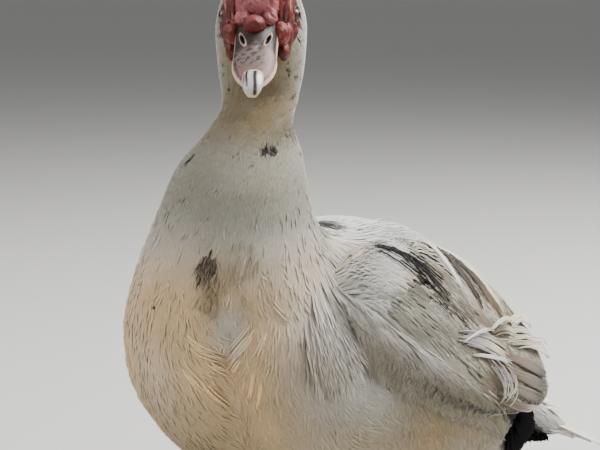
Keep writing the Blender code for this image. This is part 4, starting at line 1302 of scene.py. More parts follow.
def streak_tint(sign):
    """Cream over the back edge, a black streak, brown and olive below, each strand a little off its neighbours."""
    def tint(place, height, shown, draw):
        along = -place[:, None] + 0.09
        level = np.degrees(height)[:, None] - 8.0 + 0.0 * shown[..., 0]
        grain = 0.55 * draw.normal(0.0, 1.0, (len(place), 1)) + 0.85 * draw.normal(0.0, 1.0, level.shape)
        wave = np.sin(level * 0.23 + along * 9.0) + 0.6 * np.sin(level * 0.47 - along * 5.0 + 1.0)
        colour = blend(OLIVE, hue("grey_brown"), ease(wave + 0.6 * grain, -0.8, 0.9))
        colour = blend(colour, hue("cream"), 0.7 * ease(wave + 0.7 * grain, 0.7, 1.9))
        grey = ease(level, 30.0, 5.0) * ease(along, 0.38, 0.3)
        colour = blend(colour, SLATE, 0.7 * grey * ease(grain, 1.4, -0.4))
        brown = ease(level, -8.0, -30.0) * ease(along, 0.34, 0.42)
        colour = blend(colour, hue("brown"), 0.8 * brown * ease(grain, 1.6, -0.2))
        upper = ease(level, 50.0, 64.0)
        colour = blend(colour, hue("cream") * 1.04, 0.85 * upper * ease(grain, 1.1, -0.2))
        pale = streak_share(along, level, PALE_STREAK) * ease(along, 0.26, 0.3)
        colour = blend(colour, hue("cream") * 1.06, 0.8 * pale * ease(grain, 0.8, -0.4))
        deep = streak_share(along, level, DEEP_STREAK) * ease(along, 0.32, 0.38)
        colour = blend(colour, hue("brown") * 0.6, 0.85 * deep * ease(grain, 0.9, 0.0))
        if sign < 0.0:
            colour = blend(colour, hue("white"), 0.85 * ease(shown[..., 1], 0.03, -0.04))
        if sign > 0.0:
            band = streak_share(along, level, BLACK_STREAK) * ease(along, 0.15, 0.18) * ease(along, 0.4, 0.34)
            colour = blend(colour, hue("black"), 1.1 * band * ease(grain, 0.9, 0.1))
        return colour
    return tint


# ---- Vanes

VANE_SHARES = np.array((0.0, 0.06, 0.14, 0.24, 0.35, 0.46, 0.57, 0.67, 0.76, 0.84, 0.9, 0.95, 0.985, 1.0))
VANE_ACROSS = np.array((-1.0, -0.55, -0.08, 0.08, 0.55, 1.0))


def vane_width(share, sharp):
    """Feather width along its length, full past the middle and closing to a round or sharp tip."""
    grow = 0.42 + 0.58 * np.sin(0.5 * math.pi * np.minimum(1.0, share / 0.45))
    tip = np.clip((share - 0.52) / 0.48, 0.0, 1.0)
    rounded = np.sqrt(np.maximum(0.0, 1.0 - tip ** 3.2))
    pointed = (1.0 - tip ** 1.7)
    return grow * (rounded * (1.0 - sharp) + pointed * sharp)


def vane_mesh(line, normal, half, sharp, camber, seed, thick=0.0005):
    """Closed feathers: across each line the sheet droops as camber times across squared, with a raised shaft."""
    draw = np.random.default_rng(seed)
    count, steps = line.shape[:2]
    tangent = unit(np.gradient(line, axis=1))
    side = unit(np.cross(normal, tangent))
    up = unit(np.cross(tangent, side))
    share = VANE_SHARES[None, :, None]
    across = VANE_ACROSS[None, None, :]
    wide = vane_width(share, sharp[:, None, None]) * half[:, None, None]
    ragged = draw.normal(1.0, 0.06, (count, steps, 2))
    edge = np.where(across < 0.0, ragged[:, :, :1], ragged[:, :, 1:])
    reach = wide * (across * (1.0 + (edge - 1.0) * np.abs(across)))
    shaft = 0.00045 * (1.0 - 0.75 * share) * (np.abs(across) < 0.1)
    droop = -camber * half[:, None, None] * across * across * (0.35 + 0.65 * np.minimum(1.0, share * 3.0))
    wave = 0.00022 * np.sin(share * 31.0 + across * 5.0 + draw.uniform(0.0, 6.28, (count, 1, 1)))
    body = thick * (1.0 - 0.5 * share) * (1.0 - 0.6 * np.abs(across))
    flat = line[:, :, None] + side[:, :, None] * reach[..., None]
    top = flat + up[:, :, None] * (droop + shaft + wave + body / 2.0)[..., None]
    low = flat + up[:, :, None] * (droop + wave - body / 2.0 - 0.00012)[..., None]
    grid = np.concatenate((top, low[:, :, ::-1]), axis=2)
    length = np.linalg.norm(np.diff(line, axis=1), axis=-1).sum(axis=1)
    sheets = np.broadcast_arrays(reach, share * length[:, None, None], across)
    lay_across, lay_along, both = (np.concatenate((sheet, sheet[:, :, ::-1]), axis=2) for sheet in sheets)
    return grid, side_by_side(lay_across, lay_along), both


def each_with_ends(values):
    """The values of many tubes in one list, each tube followed by the mean of its first and last ring."""
    ends = np.stack((values[:, 0].mean(axis=1), values[:, -1].mean(axis=1)), axis=1)
    size = values.shape[-1]
    return np.concatenate((values.reshape(len(values), -1, size), ends), axis=1).reshape(-1, size)


def vane_piece(name, grid, lay, tint, patch_root, covers=()):
    """One object from many feathers, each with its own patch of the bake map."""
    count, _, columns = grid.shape[:3]
    one_points, one_faces = closed_tube(grid[0])
    faces = (one_faces[None] + (np.arange(count) * len(one_points))[:, None, None]).reshape(-1, 3)
    column = np.concatenate((np.linspace(0.0, 0.45, columns // 2), np.linspace(0.95, 0.5, columns // 2)))
    spot = np.stack(np.broadcast_arrays(
        patch_root[:, None, None, 0] + (column[None, None, :] - 0.5) * 0.003,
        patch_root[:, None, None, 1] + (VANE_SHARES[None, :, None] - 0.5) * 0.003), axis=-1)
    points, colour, patch, lay = (each_with_ends(values) for values in (grid, tint, spot, lay))
    return make_piece(name, points, faces, finish_of("vane"), covers, colour, patch, lay)


# Wing tiers: count, root from and to, height from and to in degrees, length, drop, half width, lift, sharpness,
# how dark its middle and how pale its margin
WING_TIERS = (
    (7, 0.68, 0.6, -50, 8, 0.29, 6, 0.0086, 0.001, 0.25, 0.75, 0.35),
    (12, 0.62, 0.4, -70, 36, 0.34, -4, 0.01, 0.002, 0.3, 0.7, 0.55),
    (7, 0.54, 0.36, 30, 88, 0.4, -14, 0.0092, 0.0032, 0.6, 0.65, 0.8),
    (16, 0.44, 0.28, -72, 60, 0.24, -5, 0.0074, 0.003, 0.7, 0.7, 0.7),
    (18, 0.35, 0.21, -72, 70, 0.21, -6, 0.006, 0.0038, 0.8, 0.7, 0.8),
    (18, 0.27, 0.13, -70, 76, 0.19, -6, 0.0054, 0.0045, 0.85, 0.6, 0.85),
    (10, 0.16, 0.04, -60, 84, 0.16, -2, 0.007, 0.0046, 0.8, 0.2, 1),
    (13, 0.3, 0.1, 34, 98, 0.44, -16, 0.0056, 0.0052, 0.9, 0.6, 1),
    (10, 0.44, 0.24, 24, 90, 0.38, -14, 0.0054, 0.0058, 0.9, 0.7, 0.9),
)
# Feathers with a black streak on the left wing, as tier and number
STREAKED = ((4, 11), (4, 12), (5, 11), (5, 12), (5, 13), (5, 14), (7, 1), (7, 2), (7, 3), (4, 13), (8, 1), (8, 3))
# Loose strands on the left wing: place, height and lift at root, middle and tip, how many, how far apart along and
# round, half width, how sharp, and the tone of root and tip
LOOSE = (
    (0.172, 60, 0.0064, 0.203, 40, 0.0076, 0.25, 20, 0.0072, 8, 0.022, 13, 0.0006, 0.9, 5, 5),
    (0.212, 38, 0.0064, 0.24, 22, 0.0076, 0.296, 5, 0.0072, 8, 0.024, 13, 0.0006, 0.9, 5, 5),
    (0.312, 80, 0.0068, 0.318, 50, 0.008, 0.345, 18, 0.0074, 7, 0.008, 4, 0.0012, 0.9, 4, 4),
    (0.345, 62, 0.0066, 0.356, 40, 0.0076, 0.4, 8, 0.0072, 9, 0.01, 5, 0.001, 0.9, 0, 0),
    (0.36, 76, 0.0068, 0.45, 62, 0.008, 0.52, 14, 0.0074, 8, 0.03, 10, 0.001, 0.9, 4, 3),
    (0.4, 60, 0.0066, 0.44, 40, 0.0076, 0.48, 12, 0.0072, 9, 0.03, 10, 0.001, 0.9, 0, 1),
    (0.302, -33, 0.008, 0.335, -19, 0.015, 0.392, -15, 0.011, 3, 0.002, 0.8, 0.0009, 0.9, 4, 4),
    (0.308, -29, 0.007, 0.36, -24, 0.0105, 0.446, -32, 0.008, 22, 0.016, 9, 0.0009, 0.7, 2, 3),
    (0.33, -40, 0.007, 0.37, -36, 0.0105, 0.45, -34, 0.0085, 3, 0.004, 1, 0.0008, 0.9, 4, 4),
    (0.388, -14, 0.009, 0.432, 5, 0.018, 0.524, 0, 0.011, 4, 0.003, 1, 0.0009, 0.9, 3, 3),
    (0.395, -15, 0.0075, 0.44, -4, 0.011, 0.51, -7, 0.0085, 10, 0.012, 5, 0.0012, 0.6, 1, 3),
    (0.48, -12, 0.008, 0.64, 4, 0.0125, 0.9, 2, 0.009, 20, 0.034, 11, 0.001, 0.8, 3, 4),
    (0.5, 2, 0.0085, 0.61, 24, 0.0135, 0.79, 40, 0.01, 9, 0.024, 6, 0.0012, 0.8, 3, 4),
    (0.402, -20, 0.01, 0.56, -8, 0.0165, 0.89, 22, 0.012, 1, 0.001, 0.1, 0.0006, 0.9, 3, 3),
    (0.45, -28, 0.0075, 0.56, -32, 0.0105, 0.69, -38, 0.01, 5, 0.02, 4, 0.0028, 0.9, 1, 0),
    (0.44, -42, 0.0075, 0.55, -48, 0.01, 0.67, -55, 0.0095, 5, 0.02, 5, 0.0028, 0.9, 1, 0),
    (0.43, -56, 0.0075, 0.53, -64, 0.0095, 0.63, -72, 0.0085, 5, 0.02, 5, 0.0028, 0.9, 1, 0),
    (0.405, -44, 0.0085, 0.44, -58, 0.011, 0.43, -76, 0.008, 14, 0.034, 12, 0.0006, 0.9, 2, 3),
    (0.43, -74, 0.0065, 0.54, -82, 0.0085, 0.65, -88, 0.007, 12, 0.03, 6, 0.0012, 0.8, 1, 3),
)


def vane_tint(both, share, dark, edge, streak, draw):
    """Brown-grey centres, cream margins, a pale shaft, black along the middle where streaked."""
    count = len(dark)
    away = np.abs(both)
    shade = draw.normal(1.0, 0.07, (count, 1, 1))
    centre = blend(hue("grey_brown"), hue("brown") * 0.9, dark[:, None, None] * (0.5 + 0.5 * share))
    colour = blend(centre, hue("cream"), edge[:, None, None] * ease(away, 0.35, 1.0))
    colour = blend(colour, hue("cream") * 1.05, edge[:, None, None] * 0.6 * ease(share, 0.86, 0.99))
    colour = blend(colour, hue("cream"), 0.35 * (away < 0.1))
    black = streak[:, None, None] * ease(away, 0.72, 0.3) * ease(share, 0.25, 0.45)
    colour = blend(colour, hue("black"), black)
    return colour * shade[..., None]


def build_wing(side, sign):
    """Overlapping tiers from the hand to the shoulder, each feather laid along the wing's oval."""
    draw = np.random.default_rng(51 if sign > 0.0 else 52)
    table = []
    for tier, row in enumerate(WING_TIERS):
        count, root_a, root_b, height_a, height_b, length, drop, half, lift, sharp, dark, edge = row
        step = np.arange(count)
        share = step / (count - 1.0)
        streak = np.isin(step, [number for which, number in STREAKED if which == tier]) * (sign > 0.0)
        table.append(np.stack((
            root_a + (root_b - root_a) * share + draw.normal(0.0, 0.008, count),
            height_a + (height_b - height_a) * share + draw.normal(0.0, 2.0, count),
            length * (1.0 - 0.1 * np.abs(share - 0.4)) * draw.normal(1.0, 0.05, count),
            drop + draw.normal(0.0, 2.0, count),
            half * draw.normal(1.0, 0.1, count),
            lift + 0.0006 * (step % 2) + 0.0003 * share,
            np.full(count, sharp), dark * draw.uniform(0.4, 1.5, count), edge * draw.uniform(0.7, 1.0, count),
            streak), axis=-1))
    table = np.concatenate(table)
    share = VANE_SHARES[None, :]
    place = np.minimum(table[:, 0:1] + table[:, 2:3] * share, 0.97 + 0.05 * share)
    bend = draw.normal(0.0, 2.0, (len(table), 1)) * np.sin(math.pi * share)
    height = np.radians(table[:, 1:2] + table[:, 3:4] * share + bend)
    lift = table[:, 5:6] * np.minimum(1.0, share * 2.5) + 0.0012 * share - 0.0008
    line, normal = laid(wing_surface, place, height, lift, sign)
    grid, lay, both = vane_mesh(line, normal, table[:, 4], table[:, 6], 0.16, 61)
    along = VANE_SHARES[None, :, None] * np.ones(both.shape)
    tint = vane_tint(both, along, table[:, 7], table[:, 8], table[:, 9], draw)
    return vane_piece("wing_feathers_" + side, grid, lay, tint,
                      wing_map(table[:, 0], np.radians(table[:, 1]), sign), ("wing_" + side,))


def build_loose():
    """Bent strands of the ruffled feathers on the left wing, in bundles along curves through three places."""
    draw = np.random.default_rng(62)
    table = np.array(LOOSE)
    table = np.repeat(table, table[:, 9].astype(int), axis=0)
    count = len(table)
    share = VANE_SHARES[None, :]
    a, b, c = arc_shares(share)
    cut = draw.uniform(0.8, 1.0, (count, 1))
    stray = draw.uniform(-1.0, 1.0, (count, 1))
    place = table[:, 0:1] * a + table[:, 3:4] * b + (table[:, 0:1] + (table[:, 6:7] - table[:, 0:1]) * cut) * c
    place = place + draw.uniform(-1.0, 1.0, (count, 1)) * table[:, 10:11] * (1.0 - 0.5 * share)
    height = table[:, 1:2] * a + table[:, 4:5] * b + table[:, 7:8] * c
    height = height + stray * table[:, 11:12] * (0.6 + 0.6 * share)
    lift = table[:, 2:3] * a + table[:, 5:6] * b + table[:, 8:9] * c + draw.normal(0.0, 0.0004, (count, 1)) * share
    line, normal = laid(wing_surface, place, np.radians(height), lift, 1.0)
    half = table[:, 12] * draw.uniform(0.6, 1.2, count)
    grid, lay, both = vane_mesh(line, normal, half, table[:, 13], 0.3, 63, 0.0003)
    tones = np.stack((hue("grey_brown") * 0.14, TAWNY, LILAC * 0.6,
                      hue("cream") * 0.85, hue("white") * 0.95, hue("black") * 2.5))
    first = tones[table[:, 14].astype(int)][:, None, None, :]
    last = tones[table[:, 15].astype(int)][:, None, None, :]
    along = VANE_SHARES[None, :, None] * np.ones(both.shape)
    tint = blend(first, last, ease(along, 0.35, 0.85)) * draw.normal(1.0, 0.07, (count, 1, 1, 1))
    root = wing_map(table[:, 0], np.radians(table[:, 1]), 1.0)
    return vane_piece("wing_loose_left", grid, lay, tint, root)


# Tiers of the tail's fan: count, half width of the root line, its y and z, length, how much shorter the outer ones
# are, half spread and slope in degrees, half width, arch, sharpness
TAIL_TIERS = (
    (14, 0.02, 0.318, 0.0865, 0.147, 0.16, 19, 31, 0.0125, 0.008, 0.25),
    (9, 0.02, 0.313, 0.099, 0.062, 0.2, 20, 31, 0.01, 0.0092, 0.4),
    (9, 0.018, 0.306, 0.106, 0.05, 0.2, 20, 31, 0.0095, 0.01, 0.5),
    (8, 0.02, 0.315, 0.077, 0.07, 0.2, 18, 25, 0.011, 0.0012, 0.4),
)


def build_tail():
    """A fan: feathers leave the root at angles of spread times share, arched over the fan's middle."""
    draw = np.random.default_rng(71)
    lines = []
    normals = []
    halves = []
    sharps = []
    for count, wide, start_y, start_z, length, fall, spread, slope, half, arch, sharp in TAIL_TIERS:
        step = np.arange(count)
        share = 2.0 * step / (count - 1.0) - 1.0
        angle = np.radians(spread) * share
        lean = math.radians(slope)
        ahead = side_by_side(np.sin(angle), np.cos(angle) * math.cos(lean), -np.cos(angle) * math.sin(lean))
        up = unit(side_by_side(share * 0.25, np.full(count, math.sin(lean)), np.full(count, math.cos(lean))))
        rise = arch * (1.0 - share * share) + 0.001 * (step % 2)
        start = side_by_side(wide * share, np.full(count, start_y), start_z + rise)
        reach = length * (1.0 - fall * share * share) * draw.normal(1.0, 0.02, count)
        part = VANE_SHARES[None, :, None]
        line = start[:, None] + ahead[:, None] * reach[:, None, None] * part + up[:, None] * 0.004 * part * part
        lines.append(line + SHIFT)
        normals.append(np.broadcast_to(up[:, None], line.shape))
        halves.append(np.full(count, half))
        sharps.append(np.full(count, sharp))
    line = np.concatenate(lines)
    grid, lay, both = vane_mesh(line, np.concatenate(normals), np.concatenate(halves), np.concatenate(sharps), 0.18, 72)
    share = VANE_SHARES[None, :, None] * np.ones(both.shape)
    count = len(line)
    shade = draw.normal(1.0, 0.05, (count, 1, 1))
    base = blend(hue("white"), hue("grey_brown"), 0.1 * ease(np.abs(both), 0.9, 0.3))
    grey = np.zeros(count)
    grey[[10, 12]] = (0.8, 1.0)
    dark = grey[:, None, None] * ease(both * both, 0.5, 0.05) * ease(share, 0.3, 0.55)
    base = blend(base, hue("black"), dark * 0.85)
    colour = base * shade[..., None]
    root = body_map(np.linspace(-3.5, -0.5, count), np.linspace(-0.6, 0.6, count))
    return vane_piece("tail_feathers", grid, lay, colour, root, ("tail",))


# ---- Face

# Pink of the skin's mottling, also used for painted highlights on the face
PINK = tone(196, 116, 108)
DEEP_RED = tone(80, 16, 10)
# Dark red of the mottles and specks, also painted shade in the creases between lobes
DARK_RED = tone(52, 16, 14)
RIM_PINK = tone(212, 148, 134)
# Lobes of bare skin: x, y, z, half sizes, 0 on the middle line or 2 for both sides, and the kind of skin:
# 0 the knob, 1 the block, 2 the lobes, 3 the deep red between them
LOBES = (
    (-0.0009, -0.0548, 0.4256, 0.0074, 0.0086, 0.0069, 0, 0),
    (0.0084, -0.049, 0.4305, 0.0054, 0.0074, 0.005, 2, 1),
    (0, -0.046, 0.4385, 0.0072, 0.0088, 0.0092, 0, 1),
    (0.007, -0.0448, 0.4385, 0.007, 0.0096, 0.0098, 2, 1),
    (0.0074, -0.0345, 0.4525, 0.008, 0.0105, 0.0086, 2, 1),
    (0.0154, -0.0425, 0.4199, 0.0058, 0.009, 0.0078, 2, 2),
    (0.0172, -0.037, 0.409, 0.0038, 0.0085, 0.0066, 2, 3),
    (0.0146, -0.0385, 0.4395, 0.0029, 0.0088, 0.012, 2, 2),
    (0.0175, -0.0335, 0.439, 0.0029, 0.0088, 0.0135, 2, 3),
    (0.0195, -0.0285, 0.436, 0.0029, 0.0085, 0.015, 2, 2),
    (0.0209, -0.0235, 0.434, 0.0027, 0.007, 0.014, 2, 3),
    (0.0195, -0.033, 0.418, 0.0034, 0.008, 0.009, 2, 3),
    (0.016, -0.0225, 0.4515, 0.0058, 0.009, 0.0066, 2, 2),
    (0.019, -0.012, 0.444, 0.0046, 0.0075, 0.0046, 2, 2),
    (0.0215, -0.015, 0.419, 0.0034, 0.0076, 0.0046, 2, 2),
    (0.0232, -0.004, 0.4235, 0.0034, 0.0055, 0.0046, 2, 3),
    (0.0222, -0.002, 0.437, 0.0034, 0.0048, 0.0052, 2, 2),
)
FACE_HEART = np.array((0.0, -0.016, 0.428))


def lobe_table():
    """Every lobe with its own side."""
    rows = []
    for index, (x, y, z, wide, deep, high, sides, kind) in enumerate(LOBES):
        for sign in ((1.0,) if sides == 0 else (1.0, -1.0)):
            size = 1.0 + 0.05 * math.sin(2.3 * index + sign)
            rows.append((x * sign, y, z, wide * size, deep * size, high * size, kind))
    return np.array(rows)


def straight_head(points):
    """Frame points put back in the straight head's place."""
    away = points - SHIFT
    x = away[..., 0] - HEAD_SWAY[0]
    y = away[..., 1] - HEAD_SWAY[1]
    cosine = math.cos(HEAD_TURN)
    sine = math.sin(HEAD_TURN)
    return side_by_side(x * cosine + y * sine, -x * sine + y * cosine, away[..., 2])


def face_reach(way):
    """How far the lobes reach from the face's heart along each way: the far root of the ray and each oval ball."""
    table = lobe_table()
    centre = table[:, :3]
    half = table[:, 3:6]
    start = (FACE_HEART - centre) / half
    ray = way[..., None, :] / half
    a = (ray * ray).sum(-1)
    b = (ray * start).sum(-1)
    c = (start * start).sum(-1) - 1.0
    inside = b * b - a * c
    return np.where(inside > 0.0, (-b + np.sqrt(np.maximum(inside, 0.0))) / a, 0.0)


KNOB, BLOCK, LOBE, DEEP = 0.0, 1.0, 2.0, 3.0
FACE_START = 15.2
FACE_ROWS = 150
FACE_CAP_ROWS = 30
# How softly two lobes of the block, and any other two, run together
BLOCK_JOIN = 0.005
LOBE_JOIN = 0.0013


def build_face(wrinkles):
    """The bare face: rays from a point inside the head, each ending on the outermost lobe or the head itself."""
    place = np.concatenate((np.linspace(FACE_START, HEAD_END, FACE_ROWS), np.full(FACE_CAP_ROWS, HEAD_END)))[:, None]
    angle = np.linspace(-math.pi, math.pi, 289)[None, :-1]
    shrink = np.concatenate((np.ones(FACE_ROWS), np.linspace(0.97, 0.02, FACE_CAP_ROWS)))[:, None, None]
    bare = bare_face(body_surface(place, angle, 0.0))
    base = straight_head(body_surface(place, angle, -0.0032 + 0.0036 * ease(bare, -0.006, 0.0)))
    middle = base[-1:].mean(axis=1, keepdims=True)
    base = middle + (base - middle) * shrink
    way = unit(base - FACE_HEART)
    far = np.linalg.norm(base - FACE_HEART, axis=-1)
    table = lobe_table()
    kinds = table[:, 6]
    reach = face_reach(way)
    order = np.argsort(reach, axis=-1)
    owner = order[..., -1]
    other = order[..., -2]
    top = np.take_along_axis(reach, order[..., -1:], axis=-1)[..., 0]
    after = np.take_along_axis(reach, order[..., -2:-1], axis=-1)[..., 0]
    alike = (kinds[owner] == BLOCK) & (kinds[other] == BLOCK)
    join = np.where(alike, BLOCK_JOIN, LOBE_JOIN)
    soft = np.maximum(top, far)
    near_top = np.maximum(after, np.minimum(top, far))
    gap = soft - near_top
    mixed = np.clip(0.5 + 0.5 * gap / join, 0.0, 1.0)
    radius = near_top + gap * mixed + join * mixed * (1.0 - mixed)
    fade = ease(bare, -0.0008, 0.001)
    radius = far + (radius - far) * fade
    points = FACE_HEART + way * radius[..., None]
    kind = np.where(top > far, kinds[owner], DEEP)
    block = kind == BLOCK
    off = np.abs(points[..., 0])
    groove = np.exp(-((off - 0.0042) / 0.001) ** 2) + 0.6 * np.exp(-((off - 0.0092) / 0.0009) ** 2)
    pebble = 0.0003 * ripple(points, 0.0026, 87) + 0.0005 * ripple(points, 0.007, 90) - 0.0008 * groove
    fine = ripple(points, 0.0046, 81) * 0.0003 + ripple(points, 0.0017, 82) * 0.00013 + block * pebble
    points = points + way * (fine * fade * wrinkles)[..., None]
    off = np.abs(points[..., 0])
    level = points[..., 2]
    colour = np.stack((hue("knob"), hue("block"), hue("lobes"), DEEP_RED))[kind.astype(int)]
    centre = table[:, :3][owner]
    colour = colour * (1.0 - 0.3 * ease(level, 0.44, 0.452) * block)[..., None]
    # Pink patches over the face apart from the knob: skin mottling and painted highlights
    colour = blend(colour, PINK, 0.32 * ease(ripple(points, 0.0075, 83), 0.25, 0.95) * (kind != KNOB))
    colour = blend(colour, DARK_RED, 0.45 * ease(ripple(points, 0.0058, 84), 0.1, 0.9) * ~block)
    # Each lobe is pinker towards its top: painted highlight
    colour = blend(colour, PINK, 0.22 * ease(level - centre[..., 2], 0.001, 0.006) * ~block)
    spots = ease(ripple(points, 0.0014, 88), 0.45, 0.8) * (off < 0.0075) * ease(level, 0.442, 0.447)
    colour = blend(colour, DARK_RED, 0.75 * spots * block)
    gap = np.where(alike, 0.02, gap) * 1000.0
    outer = off - np.abs(centre[..., 0]) + 0.5 * (level - centre[..., 2])
    rim = np.exp(-((gap - 1.3) / 0.5) ** 2) * ease(outer, -0.0005, 0.003) * (block | (kind == LOBE))
    colour = blend(colour, RIM_PINK, 0.8 * rim)
    # Dark red where two lobes meet: painted shade in the creases
    colour = blend(colour, DARK_RED, 0.9 * np.exp(-(gap / 0.75) ** 2))
    mesh_points, faces = closed_tube(head_place(points))
    tint = with_ends(colour)
    turn = (angle / math.tau + 0.5) + 0.0 * place
    rows = np.linspace(0.0, 1.0, len(place))[:, None] + 0.0 * angle
    patch = side_by_side(0.02 + 0.96 * rows, 0.02 + 0.96 * turn).reshape(-1, 2)
    patch = np.concatenate((patch, np.array(((0.02, 0.5), (0.98, 0.5)))))
    return make_piece("bare_face", mesh_points, faces, finish_of("face"), ("head",), tint, patch)


# ---- Bill

BILL_EDGE = np.array(BILL_UPPER_ROWS)[:, (0, 2)]
# Across a half of the bill: steps of the flat side that meets the other half, and how much of the width it spans
MOUTH_STEPS = 25
MOUTH_SHARE = 0.96


def build_bill_half(name, rows, sign, node):
    """Half arches along the bill: x = width cos(a), z = mouth + height (0.12 + 0.88 sin(a)), with nostril pits."""
    steps = 200 if sign > 0.0 else 120
    place = np.linspace(0.0, len(rows) - 1.0, steps)
    row = along_rows(rows, place)
    arch = np.linspace(0.0, math.pi, 121 if sign > 0.0 else 61)
    mouth = row[:, 1] + sign * 0.00015
    height = sign * row[:, 3]
    x = row[:, 2:3] * np.cos(arch)[None, :]
    lift = 0.12 + 0.88 * np.sin(arch) ** (0.9 if sign > 0 else 1.1)
    z = mouth[:, None] + height[:, None] * lift[None, :]
    y = np.broadcast_to(row[:, :1], x.shape)
    top = side_by_side(x, y, z)
    flat = np.linspace(-MOUTH_SHARE, MOUTH_SHARE, MOUTH_STEPS)
    low = side_by_side(row[:, 2:3] * flat[None, :], row[:, :1], mouth[:, None])
    grid = np.concatenate((top, low), axis=1)
    colour = bill_tint(grid, sign)
    if sign > 0.0:
        pits = np.array(NOSTRIL_ROWS)
        for side in (1.0, -1.0):
            centre = pits[2] * np.array((side, 1.0, 1.0))
            along = unit((pits[0] - pits[4] + np.array((0.0022, 0.0, 0.0))) * np.array((side, 1.0, 1.0)))
            out = unit(np.array((side * 0.75, -0.15, 0.6)))
            out = unit(out - along * (out @ along))
            across = np.cross(out, along)
            away = grid - centre
            u = (away @ along) / 0.0052
            v = (away @ across) / 0.0012
            ring = np.sqrt(u * u + v * v)
            pit = ease(ring, 1.0, 0.5)
            rim = np.exp(-((ring - 1.32) / 0.2) ** 2)
            grid = grid - out * (0.0026 * pit - 0.0005 * rim)[..., None]
            colour = blend(colour, hue("black") * 0.5, ease(ring, 1.12, 0.9))
            colour = blend(colour, hue("bill_rim"), 0.7 * rim)
    points, faces = closed_tube(head_place(grid))
    tint = with_ends(colour)
    return make_piece(name, points, faces, finish_of("bill"), (node,), tint)


def bill_tint(points, sign):
    """Dark olive at the root, grey with dark flecks along the middle, pink at the sides and a thin pale rim."""
    x = points[..., 0]
    y = points[..., 1]
    mottled = ripple(points * np.array((1.0, 0.5, 1.0)), 0.0042, 85)
    flecks = ripple(points * np.array((1.0, 0.6, 1.0)), 0.0019, 89)
    colour = blend(hue("bill"), hue("bill_root"), ease(y, -0.0735, -0.068))
    pale = np.exp(-((x - 0.0008) / 0.0018) ** 2 - ((y + 0.0705) / 0.0026) ** 2)
    colour = blend(colour, hue("bill") * 1.9, pale * 0.9)
    colour = blend(colour, hue("bill_side"), ease(x, 0.003, 0.0085) * ease(y, -0.068, -0.073) * 0.85)
    colour = blend(colour, hue("bill_side"), ease(-x, 0.008, 0.012) * ease(y, -0.074, -0.08) * 0.6)
    colour = blend(colour, hue("bill_side"), ease(y, -0.08, -0.088) * 0.75)
    patches = ease(mottled, 0.05, 0.75) * ease(y, -0.086, -0.079) * ease(x, 0.009, 0.004)
    colour = blend(colour, hue("bill_root"), 0.75 * patches)
    colour = blend(colour, hue("bill_root") * 0.9, 0.55 * ease(flecks, 0.25, 0.8) * ease(y, -0.088, -0.08))
    share = np.abs(x) / np.interp(-y, -BILL_EDGE[:, 0], BILL_EDGE[:, 1])
    edge = ease(share, 0.93, 0.985) * ease(y, -0.046, -0.052)
    colour = blend(colour, hue("bill_rim"), edge)
    line = np.exp(-((share - 0.86) / 0.035) ** 2) * ease(y, -0.074, -0.079)
    colour = blend(colour, hue("bill_root") * 0.7, line * 0.75)
    notch = (np.sin(y * math.tau / 0.0024) > 0.45) * ease(share, 0.8, 0.86)
    colour = blend(colour, hue("bill_root") * 0.6, notch * (1.0 - edge) * 0.45 * ease(y, -0.064, -0.07))
    if sign < 0.0:
        colour = blend(colour, hue("bill_rim"), 0.5)
    return colour


# Dark stripes of the nail: x, half width, where each starts and ends along the path, how dark
NAIL_STRIPES = (
    (-0.0036, 0.00085, 1.2, 3.9, 0.97),
    (-0.0052, 0.00055, 1.9, 3.4, 0.85),
    (0.0017, 0.0013, 1.4, 4.8, 0.99),
)


def build_nail():
    """The hooked nail: ovals along a bent path, crowned across and tapering to its edge."""
    rows = [(0.0,) + row for row in NAIL_ROWS]
    steps = 70
    place = np.linspace(0.0, len(rows) - 1.0, steps)
    row = along_rows(rows, place)
    tangent = unit(np.gradient(row[:, :3], axis=0))
    side = np.array((1.0, 0.0, 0.0))
    up = unit(np.cross(np.broadcast_to(side, tangent.shape), tangent))
    up = np.where(up[:, 2:3] < 0.0, -up, up)
    turn = around(120)
    grid = (row[:, None, :3] + side * (row[:, 4:5] * np.cos(turn)[None, :])[..., None]
            + up[:, None] * (row[:, 3:4] * np.sin(turn)[None, :])[..., None])
    x = grid[..., 0]
    part = place[:, None] + 0.0 * x
    colour = blend(hue("nail"), hue("bill_rim"), ease(part, 4.0, 4.8) * 0.8)
    colour = blend(colour, hue("bill_rim") * 0.9, ease(np.abs(x) / row[:, None, 4], 0.8, 0.98) * 0.6)
    for line_x, wide, first, last, dark in NAIL_STRIPES:
        stripe = np.exp(-((x - line_x - 0.0003 * np.sin(part * 2.0)) / wide) ** 4)
        stripe = stripe * ease(part, first, first + 0.3) * ease(part, last + 0.2, last - 0.2)
        colour = blend(colour, hue("black") if dark > 0.9 else hue("brown"), stripe * dark)
    points, faces = closed_tube(head_place(grid))
    tint = with_ends(colour)
    return make_piece("bill_nail_horn", points, faces, finish_of("nail"), ("bill_nail",), tint)


# ---- Eyes

# The lid's ring: steps round the eye and round the fold, its thickness, its reach and how far out it stands
LID_STEPS = 72
LID_SIDES = 16
LID_THICK = 0.0012
LID_REACH = 0.005
LID_OUT = 0.003


